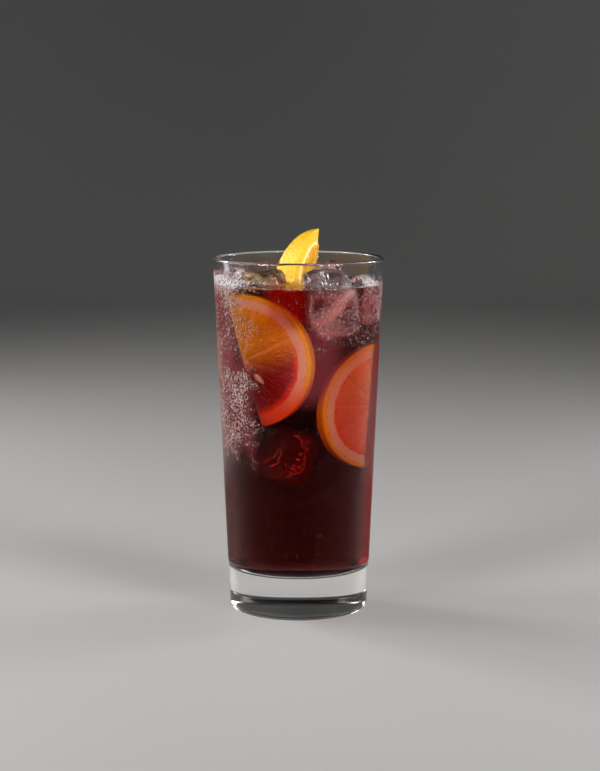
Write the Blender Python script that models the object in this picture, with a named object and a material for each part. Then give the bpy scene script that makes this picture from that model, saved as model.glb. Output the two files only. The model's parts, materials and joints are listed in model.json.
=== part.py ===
"""A tall glass of red wine punch with orange and ice, one closed solid for each piece.

Metres, +Z up. The origin is the middle of the glass's underside. The front of the glass faces -Y, and azimuths
are measured from there, positive towards +X.
"""

import math

import bmesh
import bpy
import numpy as np
from mathutils import Matrix, Vector

# Glass: a straight taper on a thick clear base
GLASS_HEIGHT = 0.157
RIM_RADIUS = 0.03755
FOOT_RADIUS = 0.0306
RIM_WALL = 0.0019
FOOT_WALL = 0.0026
BASE_THICKNESS = 0.019
FOOT_ROUNDING = 0.003
FLOOR_ROUNDING = 0.0035
TURN_STEPS = 96

# Faces that meet at more than this are shaded as an edge
SHARP_ANGLE = math.radians(40)

# Punch, and the gap that every piece keeps to its neighbours
PUNCH_LEVEL = 0.1452
GAP = 0.0003

# Orange
ORANGE_RADIUS = 0.030
SLICE_THICKNESS = 0.005
SLICE_CORNER = 0.0015
SLICE_EDGE = 0.0007
WEDGE_ANGLE = math.radians(21)
WEDGE_POCKET_SCALE = 1.09
WEDGE_POCKET_CENTRE = 0.6

# Ice: how square a cube is, and how uneven
ICE_SQUARENESS = 4.5
ICE_WAVINESS = 0.035
ICE_CUTS = 4
ICE_GAP = 0.0005


def outer_radius(z):
    """Radius of the glass's outside at height z."""
    return FOOT_RADIUS + (RIM_RADIUS - FOOT_RADIUS) * z / GLASS_HEIGHT


def inner_radius(z):
    """Radius of the glass's inside at height z."""
    return outer_radius(z) - FOOT_WALL + (FOOT_WALL - RIM_WALL) * z / GLASS_HEIGHT


def arc(centre, radius, start, end, steps):
    """Points (r, z) on a circle arc from angle start to angle end, in degrees, both ends included."""
    angles = np.radians(np.linspace(start, end, steps + 1))
    return [(centre[0] + radius * math.cos(a), centre[1] + radius * math.sin(a)) for a in angles]


def make_material(name, colour, roughness, clearness=0.0):
    """A Principled material of one colour, see-through as far as clearness says."""
    material = bpy.data.materials.new(name)
    material.use_nodes = True
    shader = material.node_tree.nodes["Principled BSDF"]
    shader.inputs["Base Color"].default_value = (*colour, 1.0)
    shader.inputs["Roughness"].default_value = roughness
    shader.inputs["Metallic"].default_value = 0.0
    shader.inputs["Transmission Weight"].default_value = clearness
    return material


def make_object(name, shape, material, matrix=None):
    """Turns a bmesh into a smooth-shaded object, placed by its matrix."""
    bmesh.ops.recalc_face_normals(shape, faces=shape.faces)
    mesh = bpy.data.meshes.new(name)
    shape.to_mesh(mesh)
    shape.free()
    mesh.shade_smooth()
    mesh.set_sharp_from_angle(angle=SHARP_ANGLE)
    if material:
        mesh.materials.append(material)
    obj = bpy.data.objects.new(name, mesh)
    bpy.context.scene.collection.objects.link(obj)
    if matrix is not None:
        obj.matrix_world = matrix
    return obj


def make_cutter(name, shape, matrix):
    """A hidden helper that cuts a pocket."""
    cutter = make_object(name, shape, None, matrix)
    cutter.hide_render = True
    cutter.display_type = "WIRE"
    return cutter


def turned(profile):
    """A closed bmesh spun from a profile of (r, z) points that starts and ends on the axis."""
    shape = bmesh.new()
    points = [shape.verts.new((r, 0.0, z)) for r, z in profile]
    edges = [shape.edges.new(pair) for pair in zip(points, points[1:])]
    bmesh.ops.spin(
        shape,
        geom=points + edges,
        cent=(0.0, 0.0, 0.0),
        axis=(0.0, 0.0, 1.0),
        angle=2 * math.pi,
        steps=TURN_STEPS,
    )
    bmesh.ops.remove_doubles(shape, verts=shape.verts, dist=1e-6)
    return shape


def skinned(rings):
    """A closed bmesh from rings of as many points each, bridged in order and capped at both ends."""
    shape = bmesh.new()
    loops = [[shape.verts.new(point) for point in ring] for ring in rings]
    count = len(loops[0])
    for low, high in zip(loops, loops[1:]):
        for i in range(count):
            j = (i + 1) % count
            shape.faces.new((low[i], low[j], high[j], high[i]))
    shape.faces.new(loops[0])
    shape.faces.new(loops[-1])
    return shape


def glass_shape():
    """The glass's wall, rounded rim and thick base, as one turned profile from the underside's middle."""
    rim = RIM_WALL / 2
    floor = BASE_THICKNESS
    foot_centre = (outer_radius(FOOT_ROUNDING) - FOOT_ROUNDING, FOOT_ROUNDING)
    floor_centre = (inner_radius(floor + FLOOR_ROUNDING) - FLOOR_ROUNDING, floor + FLOOR_ROUNDING)
    profile = [(0.0, 0.0)]
    profile += arc(foot_centre, FOOT_ROUNDING, -90, 0, 6)
    profile += arc((RIM_RADIUS - rim, GLASS_HEIGHT - rim), rim, 0, 180, 8)
    profile += arc(floor_centre, FLOOR_ROUNDING, 0, -90, 6)
    profile += [(0.0, floor)]
    return turned(profile)


def punch_shape():
    """The punch up to its level, a gap clear of the glass."""
    floor = BASE_THICKNESS + GAP
    rounding = FLOOR_ROUNDING - GAP
    centre = (inner_radius(floor + rounding) - GAP - rounding, floor + rounding)
    profile = [(0.0, floor)]
    profile += arc(centre, rounding, -90, 0, 5)
    profile += [(inner_radius(PUNCH_LEVEL) - GAP, PUNCH_LEVEL), (0.0, PUNCH_LEVEL)]
    return turned(profile)


def half_round(radius, inset, corner):
    """Outline of a half disc with its arc towards +X, pulled in by inset, its two corners rounded."""
    reach = radius - inset
    middle = math.sqrt((reach - corner) ** 2 - (inset + corner) ** 2)
    turn = math.degrees(math.atan2(middle, inset + corner))
    top = arc((inset + corner, middle), corner, turn, 180, 5)
    bottom = arc((inset + corner, -middle), corner, 180, 360 - turn, 5)
    curve = arc((0.0, 0.0), reach, -turn, turn, 28)
    return curve[1:-1] + top + bottom


def half_slice_shape(radius, grow):
    """A half slice of orange, its front face at z = 0, all faces moved out by grow."""
    back = -SLICE_THICKNESS - grow
    outside = half_round(radius, -grow, SLICE_CORNER)
    pulled_in = half_round(radius, SLICE_EDGE - grow, SLICE_CORNER)
    levels = (
        (pulled_in, grow),
        (outside, grow - SLICE_EDGE),
        (outside, back + SLICE_EDGE),
        (pulled_in, back),
    )
    return skinned([[(*point, z) for point in ring] for ring, z in levels])


def wall_frame(azimuth, distance, along, height, tilt, turn):
    """Matrix of a flat piece that faces the wall.

    Its face looks out at the azimuth and is tilted up by tilt. The piece's middle is distance from the axis,
    moved along the wall to the right by along, and turn turns it anticlockwise in its own plane.
    """
    yaw = math.radians(azimuth)
    outward = Vector((math.sin(yaw), -math.cos(yaw), 0.0))
    sideways = Vector((math.cos(yaw), math.sin(yaw), 0.0))
    pitch = math.radians(tilt)
    normal = outward * math.cos(pitch) + Vector((0.0, 0.0, math.sin(pitch)))
    upward = normal.cross(sideways)
    frame = Matrix((sideways, upward, normal)).transposed().to_4x4()
    place = Matrix.Translation(outward * distance + sideways * along + Vector((0.0, 0.0, height)))
    return place @ frame @ Matrix.Rotation(math.radians(turn), 4, "Z")


def wedge_shape():
    """A lengthwise wedge of orange: its core edge on the Z axis, its rind towards +X."""
    shape = bmesh.new()
    polar = np.linspace(0.0, math.pi, 25)[1:-1]
    around = np.linspace(-WEDGE_ANGLE / 2, WEDGE_ANGLE / 2, 6)
    tips = [shape.verts.new((0.0, 0.0, ORANGE_RADIUS * s)) for s in (1, -1)]
    rows = []
    for p in polar:
        reach = ORANGE_RADIUS * math.sin(p)
        z = ORANGE_RADIUS * math.cos(p)
        rows.append([shape.verts.new((reach * math.cos(a), reach * math.sin(a), z)) for a in around])
    for high, low in zip(rows, rows[1:]):
        for i in range(len(around) - 1):
            shape.faces.new((high[i], low[i], low[i + 1], high[i + 1]))
    for tip, row in zip(tips, (rows[0], rows[-1])):
        for i in range(len(around) - 1):
            shape.faces.new((tip, row[i], row[i + 1]))
    for side in (0, -1):
        shape.faces.new([tips[0]] + [row[side] for row in rows] + [tips[1]])
    return shape


def ice_shape(size, seed, grow):
    """A part-melted ice cube of the given three sizes, rounded and uneven, its faces moved out by grow."""
    rng = np.random.default_rng(seed)
    waves = rng.uniform(1.0, 2.6, (3, 3))
    phases = rng.uniform(0.0, 2 * math.pi, 3)
    shape = bmesh.new()
    bmesh.ops.create_cube(shape, size=2.0)
    bmesh.ops.subdivide_edges(shape, edges=shape.edges, cuts=ICE_CUTS, use_grid_fill=True)
    points = np.array([vert.co for vert in shape.verts])
    round_off = (np.abs(points) ** ICE_SQUARENESS).sum(axis=1) ** (-1 / ICE_SQUARENESS)
    wave = np.sin(points @ waves.T + phases).sum(axis=1)
    placed = points * (round_off * (1 + ICE_WAVINESS * wave))[:, None] * (np.array(size) / 2 + grow)
    for vert, point in zip(shape.verts, placed):
        vert.co = point
    return shape


def ice_frame(middle, yaw, roll, pitch):
    """Matrix of an ice cube from its middle and its turns about Z, Y and X in degrees."""
    turns = Matrix.Identity(4)
    for angle, axis in ((yaw, "Z"), (roll, "Y"), (pitch, "X")):
        turns = turns @ Matrix.Rotation(math.radians(angle), 4, axis)
    return Matrix.Translation(middle) @ turns


# Half slices against the wall: radius, then azimuth, distance, along, height, tilt and turn
SLICES = {
    "orange_slice_left": (0.0296, (-22.8, 0.0264, -0.0130, 0.1134, -3.4, 15.3)),
    "orange_slice_right": (0.0280, (42.0, 0.0246, 0.0192, 0.0920, -3.9, 176.6)),
    "orange_slice_back": (0.0215, (-124.0, 0.0273, -0.0025, 0.1128, -2.8, -50.0)),
}

# The wedge stands with its core edge near the back wall: the middle of that edge, its leans about Y and X,
# and its rind's azimuth
WEDGE_MIDDLE = (0.0075, 0.0320, 0.1373)
WEDGE_LEANS = (3.5, -2.0)
WEDGE_RIND_AZIMUTH = -30.5

# Ice that floats: size and seed, then its middle and its turns about Z, Y and X
ICE = {
    "ice_front_left": ((0.0180, 0.0170, 0.0250), 3, ((-0.0137, -0.0056, 0.1391), -21.0, -17.0, -6.0)),
    "ice_front_right": ((0.0205, 0.0205, 0.0285), 5, ((0.0126, -0.0143, 0.1378), 8.0, -5.0, 4.0)),
    "ice_right": ((0.0150, 0.0110, 0.0210), 8, ((0.0278, 0.0000, 0.1385), 90.0, 6.0, 5.0)),
    "ice_back": ((0.0142, 0.0148, 0.0215), 11, ((0.0137, 0.0160, 0.1424), 146.0, 20.0, -27.0)),
    "ice_left": ((0.0150, 0.0110, 0.0180), 14, ((-0.0245, 0.0116, 0.1404), -116.0, -6.0, 4.0)),
}


def clear_scene():
    """Removes every object of the startup scene."""
    for obj in list(bpy.data.objects):
        bpy.data.objects.remove(obj, do_unlink=True)


def add_pocket(body, cutter):
    """Cuts the cutter's shape from the body."""
    modifier = body.modifiers.new(cutter.name, "BOOLEAN")
    modifier.operation = "DIFFERENCE"
    modifier.solver = "EXACT"
    modifier.object = cutter


def main():
    clear_scene()
    glass_look = make_material("clear_glass", (0.95, 0.96, 0.96), 0.02, clearness=0.95)
    punch_look = make_material("red_wine_punch", (0.16, 0.006, 0.008), 0.05)
    orange_look = make_material("orange", (0.85, 0.32, 0.03), 0.45)
    ice_look = make_material("ice", (0.80, 0.62, 0.62), 0.08, clearness=0.8)

    make_object("glass", glass_shape(), glass_look)
    punch = make_object("punch", punch_shape(), punch_look)

    for name, (radius, place) in SLICES.items():
        frame = wall_frame(*place)
        make_object(name, half_slice_shape(radius, 0.0), orange_look, frame)
        add_pocket(punch, make_cutter(f"{name}_pocket", half_slice_shape(radius, GAP), frame))

    yaw = math.radians(WEDGE_RIND_AZIMUTH - 90.0)
    frame = Matrix.Translation(WEDGE_MIDDLE)
    for angle, axis in zip(WEDGE_LEANS, "YX"):
        frame = frame @ Matrix.Rotation(math.radians(angle), 4, axis)
    frame = frame @ Matrix.Rotation(yaw, 4, "Z")
    make_object("orange_wedge", wedge_shape(), orange_look, frame)
    middle = Matrix.Translation((WEDGE_POCKET_CENTRE * ORANGE_RADIUS, 0.0, 0.0))
    wider = frame @ middle @ Matrix.Scale(WEDGE_POCKET_SCALE, 4) @ middle.inverted()
    add_pocket(punch, make_cutter("orange_wedge_pocket", wedge_shape(), wider))

    for name, (size, seed, place) in ICE.items():
        frame = ice_frame(*place)
        make_object(name, ice_shape(size, seed, 0.0), ice_look, frame)
        add_pocket(punch, make_cutter(f"{name}_pocket", ice_shape(size, seed, ICE_GAP), frame))


main()
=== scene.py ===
"""A tall glass of red wine punch with orange and ice: its finished look.

Metres, +Z up, the origin in the middle of the glass's underside, the front towards -Y. Azimuths are measured
from the front, positive towards +X. Sizes and places repeat the solids' own, so each piece keeps the form of
the solid that it stands for. Light bends as in the real thing: every surface has its own index, the punch
takes colour from light by the depth it crosses, and pieces that touch overlap by a hair, so that no air shows
between them.
"""

import json
import logging
import math
from dataclasses import dataclass, replace
from enum import Enum
from typing import Optional, Sequence, Union

import bpy
import numpy as np
from mathutils import Matrix, Vector

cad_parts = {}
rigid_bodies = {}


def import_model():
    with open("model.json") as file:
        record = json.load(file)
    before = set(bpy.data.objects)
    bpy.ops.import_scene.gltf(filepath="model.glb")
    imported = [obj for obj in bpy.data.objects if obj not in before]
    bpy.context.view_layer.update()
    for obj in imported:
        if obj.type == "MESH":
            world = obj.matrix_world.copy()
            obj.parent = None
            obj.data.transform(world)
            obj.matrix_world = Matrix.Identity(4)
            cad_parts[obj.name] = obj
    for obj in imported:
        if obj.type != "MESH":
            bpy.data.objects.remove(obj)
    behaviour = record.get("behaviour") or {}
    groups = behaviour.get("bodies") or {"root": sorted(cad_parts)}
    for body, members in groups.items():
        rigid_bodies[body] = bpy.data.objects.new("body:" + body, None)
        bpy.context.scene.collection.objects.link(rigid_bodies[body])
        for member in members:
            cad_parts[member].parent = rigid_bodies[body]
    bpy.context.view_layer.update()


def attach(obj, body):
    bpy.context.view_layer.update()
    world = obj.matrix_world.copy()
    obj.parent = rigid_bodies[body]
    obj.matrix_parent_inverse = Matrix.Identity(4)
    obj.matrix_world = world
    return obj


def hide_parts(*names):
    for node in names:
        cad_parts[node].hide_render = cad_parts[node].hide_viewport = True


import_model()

log = logging.getLogger("punch")

Array = np.ndarray
Socket = bpy.types.NodeSocket
Value = Union[float, Sequence[float], Socket]
# Red, green and blue; three lengths or angles; a low and a high end; and what Graph.glow takes
Colour = tuple[float, float, float]
Triple = tuple[float, float, float]
Span = tuple[float, float]
Streaks = tuple[tuple[float, ...], ...]

MM = 0.001
ROOT = "root"
LOCAL = "local"
WETNESS = "wetness"
FILM = "film"
# Attribute with the mist's share of painted shade and red glow
PAINTED_EDGE = "wine"


class Slot(Enum):
    """The record's material slots."""

    GLASS = "clear_glass"
    PUNCH = "punch"
    ORANGE = "orange"
    ICE = "ice"


class Cut(Enum):
    """How a piece of orange was cut: across its core, or lengthwise along it."""

    ACROSS = "across"
    LENGTHWISE = "lengthwise"


class Contact(Enum):
    """What a clear surface borders on: open air, open air on a plain wall, or a clear thing that it wets."""

    AIR = "air"
    WALL = "wall"
    WET = "wet"


# Node trees


class Graph:
    """One material's node tree, built by short calls."""

    def __init__(self, name: str) -> None:
        """Starts an empty tree with its output node.

        Args:
            name: The material's name.
        """
        self.material = bpy.data.materials.new(name)
        self.material.use_nodes = True
        self.tree = self.material.node_tree
        self.tree.nodes.clear()
        self.output = self.tree.nodes.new("ShaderNodeOutputMaterial")

    def put(self, socket: Socket, value: Value) -> None:
        """Links a socket to another, or sets its own value.

        Args:
            socket: The input.
            value: A socket, a number or a tuple. A colour of three numbers gets an alpha of 1.
        """
        if isinstance(value, bpy.types.NodeSocket):
            self.tree.links.new(value, socket)
        elif socket.type == "RGBA" and len(value) == 3:
            socket.default_value = (*value, 1.0)
        else:
            socket.default_value = value

    def add(self, kind: str, inputs: Optional[dict] = None, **settings: object) -> bpy.types.Node:
        """Adds a node.

        Args:
            kind: The node's type without its ShaderNode prefix.
            inputs: Values for its inputs by name or number.
            settings: Its own properties.

        Returns:
            The node.
        """
        node = self.tree.nodes.new("ShaderNode" + kind)
        for key, value in settings.items():
            setattr(node, key, value)
        for key, value in (inputs or {}).items():
            self.put(node.inputs[key], value)
        return node

    def math(self, operation: str, *values: Value) -> Socket:
        """The result of a Math node on the given values."""
        return self.add("Math", dict(enumerate(values)), operation=operation).outputs[0]

    def times(self, *values: Value) -> Socket:
        """The product of two values."""
        return self.math("MULTIPLY", *values)

    def plus(self, *values: Value) -> Socket:
        """The sum of two values."""
        return self.math("ADD", *values)

    def minus(self, *values: Value) -> Socket:
        """The first value less the second."""
        return self.math("SUBTRACT", *values)

    def largest(self, *values: Value) -> Socket:
        """The larger of two values."""
        return self.math("MAXIMUM", *values)

    def vector(self, operation: str, *values: Value, scale: float = 1.0) -> Socket:
        """The vector that a Vector Math node gives."""
        return self.add("VectorMath", dict(enumerate(values)) | {3: scale}, operation=operation).outputs[0]

    def number(self, operation: str, *values: Value) -> Socket:
        """The number that a Vector Math node gives."""
        return self.add("VectorMath", dict(enumerate(values)), operation=operation).outputs["Value"]

    def ramp(self, value: Value, low: float, high: float, first: float = 0.0, last: float = 1.0) -> Socket:
        """A smooth step of the value: first up to low, last from high on."""
        inputs = {"Value": value, "From Min": low, "From Max": high, "To Min": first, "To Max": last}
        return self.add("MapRange", inputs, interpolation_type="SMOOTHSTEP").outputs[0]

    def step(self, value: Value, at: float, fade: Span, first: float = 0.0, last: float = 1.0) -> Socket:
        """A smooth step of the value round a place, which starts and ends at the fade's ends from it."""
        return self.ramp(value, at + fade[0], at + fade[1], first, last)

    def mix(self, share: Value, first: Value, second: Value) -> Socket:
        """A colour that goes from first to second as share goes from 0 to 1."""
        return self.add("Mix", {0: share, 6: first, 7: second}, data_type="RGBA").outputs[2]

    def attribute(self, name: str) -> Socket:
        """A number kept at each point of the piece."""
        return self.add("Attribute", attribute_name=name).outputs["Fac"]

    def local(self) -> Socket:
        """A point's place in its piece's own frame, in millimetres."""
        return self.add("Attribute", attribute_name=LOCAL).outputs["Vector"]

    def world(self) -> Socket:
        """A point's place in the part's frame, in metres."""
        return self.add("TexCoord").outputs["Object"]

    def world_mm(self) -> Socket:
        """A point's place in the part's frame, in millimetres."""
        return self.vector("SCALE", self.world(), scale=1 / MM)

    def height(self) -> Socket:
        """A point's height over the glass's underside, in metres."""
        return self.add("SeparateXYZ", {0: self.world()}).outputs[2]

    def glow(self, place: Socket, spots: Streaks) -> Socket:
        """The strongest of several soft streaks in the picture plane X-Z.

        A streak runs from (x0, z0) to (x1, z1), with its strength 1 on the line and 0 from its width on.

        Args:
            place: Points in millimetres.
            spots: For each streak x0, z0, x1, z1 and width, in millimetres.

        Returns:
            Strength from 0 to 1.
        """
        most: Value = 0.0
        for x0, z0, x1, z1, width in spots:
            run = Vector((x1 - x0, 0.0, z1 - z0))
            flat = self.vector("MULTIPLY", place, (1.0, 0.0, 1.0))
            away = self.vector("SUBTRACT", flat, (x0, 0.0, z0))
            share = self.number("DOT_PRODUCT", away, tuple(run / run.length_squared))
            share = self.add("Clamp", {0: share}).outputs[0]
            along = {0: self.times(share, run.x), 2: self.times(share, run.z)}
            nearest = self.add("CombineXYZ", along).outputs[0]
            off = self.number("DISTANCE", away, nearest)
            most = self.largest(most, self.ramp(off, 0.0, width, 1.0, 0.0))
        return most

    def noise(self, place: Socket, scale: float, detail: float = 2.0, roughness: float = 0.5) -> Socket:
        """Soft noise from 0 to 1 at a place."""
        inputs = {"Vector": place, "Scale": scale, "Detail": detail, "Roughness": roughness}
        return self.add("TexNoise", inputs).outputs[0]

    def grain(self, scale: float, low: float, high: float) -> Socket:
        """A number between low and high that changes from grain to grain."""
        return self.ramp(self.noise(self.world(), scale), 0.3, 0.7, low, high)

    def swayed(self, point: Socket, place: Socket, scale: float, reach: float, detail: float = 2.0) -> Socket:
        """A point moved about by noise.

        Args:
            point: The point that moves.
            place: Where the noise is read.
            scale: The noise's scale.
            reach: How far apart its ends can move the point.
            detail: The noise's detail.

        Returns:
            The moved point.
        """
        noise = self.add("TexNoise", {"Vector": place, "Scale": scale, "Detail": detail, "Roughness": 0.5})
        away = self.vector("SUBTRACT", noise.outputs["Color"], (0.5, 0.5, 0.5))
        return self.vector("ADD", point, self.vector("SCALE", away, scale=reach))

    def cells(self, place: Socket, scale: float, feature: str = "F1") -> bpy.types.Node:
        """A Voronoi Texture node at a place."""
        return self.add("TexVoronoi", {"Vector": place, "Scale": scale}, feature=feature)

    def bump(self, height: Socket, distance: float) -> Socket:
        """A normal bent by a height from 0 to 1, where 1 stands for the distance in metres."""
        return self.add("Bump", {"Height": height, "Distance": distance, "Strength": 1.0}).outputs[0]

    def principled(self, inputs: dict) -> Socket:
        """A Principled shader with the given inputs."""
        return self.add("BsdfPrincipled", inputs).outputs[0]

    def end(self, shader: Socket, lamp_tint: Optional[Colour] = None,
            absorption: Optional[tuple[Colour, float]] = None) -> bpy.types.Material:
        """Closes the tree.

        Args:
            shader: The surface.
            lamp_tint: If given, lamps shine straight through the surface with this tint.
            absorption: Colour and density of what fills the piece, if it takes light by its depth.

        Returns:
            The material.
        """
        if lamp_tint is not None:
            is_shadow = self.add("LightPath").outputs["Is Shadow Ray"]
            passing = self.add("BsdfTransparent", {"Color": lamp_tint}).outputs[0]
            shader = self.add("MixShader", {0: is_shadow, 1: shader, 2: passing}).outputs[0]
        self.put(self.output.inputs["Surface"], shader)
        if absorption is not None:
            colour, density = absorption
            volume = self.add("VolumeAbsorption", {"Color": colour, "Density": density})
            self.put(self.output.inputs["Volume"], volume.outputs[0])
        return self.material


# Surfaces


def grid_quads(rows: int, columns: int, closed: bool) -> Array:
    """Quads of a grid of vertices numbered row by row.

    Args:
        rows: Vertices in a column.
        columns: Vertices in a row.
        closed: Whether each row's last vertex joins its first.

    Returns:
        Vertex numbers, four for each quad.
    """
    r = np.arange(rows - 1)[:, None]
    c = np.arange(columns if closed else columns - 1)[None, :]
    d = (c + 1) % columns
    low, high = r * columns, (r + 1) * columns
    return np.stack((low + c, low + d, high + d, high + c), axis=-1).reshape(-1, 4)


def fan(centre: int, ring: Array, closed: bool = True) -> Array:
    """Triangles from a centre vertex to each step along a ring."""
    triangles = np.stack((np.full(len(ring), centre), ring, np.roll(ring, -1)), axis=-1)
    return triangles if closed else triangles[:-1]


def signed_volume(points: Array, faces: Sequence[Array]) -> float:
    """The volume that closed faces hold: the sum of p0 . (p1 x p2) / 6 over their triangles.

    Args:
        points: Their points.
        faces: Blocks of faces.

    Returns:
        The volume, negative if the faces look inwards.
    """
    total = 0.0
    for block in faces:
        for i in range(1, block.shape[1] - 1):
            a, b, c = points[block[:, 0]], points[block[:, i]], points[block[:, i + 1]]
            total += float(np.einsum("ij,ij->i", a, np.cross(b, c)).sum()) / 6
    return total


def arc(centre: Sequence[float], radius: float, start: float, end: float, steps: int) -> Array:
    """Points (r, z) on a circle from angle start to angle end in degrees: centre + radius (cos, sin)."""
    angles = np.radians(np.linspace(start, end, steps + 1))
    return np.asarray(centre) + radius * np.stack((np.cos(angles), np.sin(angles)), axis=-1)


def straight(start: Sequence[float], end: Sequence[float], steps: int) -> Array:
    """Points strictly between two ends, closer together near both, by a half cosine."""
    share = (1 - np.cos(np.linspace(0, np.pi, steps + 1)[1:-1])) / 2
    return np.asarray(start) + share[:, None] * (np.asarray(end) - np.asarray(start))


def turned(profile: Array, steps: int) -> tuple[Array, list[Array], Array]:
    """Spins (r, z) points round Z: x = r sin a, y = -r cos a. Both ends lie on the axis and become poles.

    Args:
        profile: Points (r, z) from pole to pole.
        steps: How many directions the turn is cut into.

    Returns:
        Points, faces, and for each face the number of the profile's stretch that it belongs to.
    """
    inner = profile[1:-1]
    angles = np.arange(steps) * 2 * np.pi / steps
    r, z = inner[:, :1], np.broadcast_to(inner[:, 1:], (len(inner), steps))
    rings = np.stack((r * np.sin(angles), -r * np.cos(angles), z), axis=-1).reshape(-1, 3)
    poles = np.array([(0.0, 0.0, profile[0, 1]), (0.0, 0.0, profile[-1, 1])])
    ring = np.arange(steps)
    first = fan(len(rings), ring)[:, ::-1]
    last = fan(len(rings) + 1, ring + (len(inner) - 1) * steps)
    quads = grid_quads(len(inner), steps, closed=True)
    stretches = np.concatenate((
        np.repeat(np.arange(1, len(inner)), steps), np.zeros(steps, int), np.full(steps, len(inner))
    ))
    return np.vstack((rings, poles)), [quads, np.vstack((first, last))], stretches


def cube_surface(cuts: int) -> tuple[Array, Array]:
    """The surface of the cube from -1 to 1, each side a square grid, with shared corners merged.

    Args:
        cuts: Quads along a side.

    Returns:
        Points and faces.
    """
    t = np.linspace(-1.0, 1.0, cuts + 1)
    u, v = (g.ravel() for g in np.meshgrid(t, t, indexing="ij"))
    quads = grid_quads(cuts + 1, cuts + 1, closed=False)
    points, faces = [], []
    for axis in range(3):
        for sign in (1.0, -1.0):
            side = np.stack((u, v, np.full(len(u), sign)), axis=-1)
            faces.append((quads if sign < 0 else quads[:, ::-1]) + len(u) * len(points))
            points.append(np.roll(side, axis, axis=1))
    merged, index = np.unique(np.round(np.vstack(points), 9), axis=0, return_inverse=True)
    return merged, index.reshape(-1)[np.vstack(faces)]


def blob(template: Array, faces: Array, frames: Array, places: Array) -> tuple[Array, Array]:
    """Copies of a small shape.

    Args:
        template: The shape's points (m, 3).
        faces: Its faces.
        frames: A 3 x 3 matrix for each copy, which turns and scales it.
        places: Where each copy's own origin goes.

    Returns:
        All points and all faces.
    """
    points = np.einsum("nij,mj->nmi", frames, template) + places[:, None, :]
    shift = np.arange(len(places))[:, None, None] * len(template)
    return points.reshape(-1, 3), (faces[None] + shift).reshape(-1, faces.shape[1])


def icosahedron() -> tuple[Array, Array]:
    """A 20-sided ball of radius 1 on the golden ratio's corners.

    Returns:
        Points and faces.
    """
    g = (1 + math.sqrt(5)) / 2
    points = np.array([(-1, g, 0), (1, g, 0), (-1, -g, 0), (1, -g, 0), (0, -1, g), (0, 1, g),
                       (0, -1, -g), (0, 1, -g), (g, 0, -1), (g, 0, 1), (-g, 0, -1), (-g, 0, 1)], float)
    faces = np.array([(0, 11, 5), (0, 5, 1), (0, 1, 7), (0, 7, 10), (0, 10, 11), (1, 5, 9), (5, 11, 4),
                      (11, 10, 2), (10, 7, 6), (7, 1, 8), (3, 9, 4), (3, 4, 2), (3, 2, 6), (3, 6, 8),
                      (3, 8, 9), (4, 9, 5), (2, 4, 11), (6, 2, 10), (8, 6, 7), (9, 8, 1)])
    return points / math.hypot(1, g), faces


def make_piece(name: str, points: Array, faces: Sequence[Array], finishes: Sequence[bpy.types.Material],
               nodes: Sequence[str] = (), stretches: Optional[Array] = None,
               local: Optional[Array] = None) -> bpy.types.Object:
    """Makes a shown piece that rides on the part.

    Args:
        name: The piece's name.
        points: Its points in the part's frame.
        faces: Blocks of faces with as many corners each.
        finishes: Its materials.
        nodes: The solids that it stands for.
        stretches: Each face's material number.
        local: Each point's place in the piece's own frame, in metres.

    Returns:
        The object.
    """
    mesh = bpy.data.meshes.new(name)
    if signed_volume(points, faces) < 0:
        faces = [block[:, ::-1] for block in faces]
    corners = np.concatenate([block.ravel() for block in faces]).astype(np.int32)
    sides = np.concatenate([np.full(len(block), block.shape[1]) for block in faces])
    mesh.vertices.add(len(points))
    mesh.vertices.foreach_set("co", points.astype(np.float32).ravel())
    mesh.loops.add(len(corners))
    mesh.loops.foreach_set("vertex_index", corners)
    mesh.polygons.add(len(sides))
    mesh.polygons.foreach_set("loop_start", (np.cumsum(sides) - sides).astype(np.int32))
    mesh.update(calc_edges=True)
    for finish in finishes:
        mesh.materials.append(finish)
    if stretches is not None:
        mesh.polygons.foreach_set("material_index", stretches.astype(np.int32))
    if local is not None:
        attribute = mesh.attributes.new(LOCAL, "FLOAT_VECTOR", "POINT")
        attribute.data.foreach_set("vector", (local / MM).astype(np.float32).ravel())
    mesh.shade_smooth()
    piece = bpy.data.objects.new(name, mesh)
    bpy.context.scene.collection.objects.link(piece)
    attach(piece, ROOT)
    if nodes:
        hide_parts(*nodes)
    log.info("%s: %d faces", name, len(mesh.polygons))
    return piece


def placed(points: Array, matrix: Matrix) -> Array:
    """Local points taken through a matrix into the part's frame."""
    m = np.array(matrix)
    return points @ m[:3, :3].T + m[:3, 3]


# Finishes


@dataclass(frozen=True)
class ClearGlass:
    """Clear, colourless glass, a little uneven from pressing."""

    index: float = 1.5
    tint: Colour = (0.985, 0.992, 0.99)
    lamp_tint: Colour = (0.97, 0.975, 0.97)
    roughness: float = 0.0
    wave_scale: float = 55.0
    wave_depth: float = 0.00004
    wall_sheen: float = 0.05

    def material(self, contact: Contact) -> bpy.types.Material:
        """The glass: bright at rim and foot, softer on its wall, and without a sheen where it's wet.

        Args:
            contact: What the surface borders on.

        Returns:
            The material.
        """
        g = Graph(f"glass_{contact.value}")
        wave = g.noise(g.world(), self.wave_scale, detail=1.0)
        sheen = {Contact.AIR: 1.0, Contact.WALL: self.wall_sheen, Contact.WET: 0.0}[contact]
        shader = g.principled({
            "Base Color": self.tint, "Transmission Weight": 1.0, "IOR": self.index,
            "Roughness": self.roughness, "Specular Tint": (sheen, sheen, sheen),
            "Normal": g.bump(wave, self.wave_depth),
        })
        return g.end(shader, self.lamp_tint)


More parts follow.
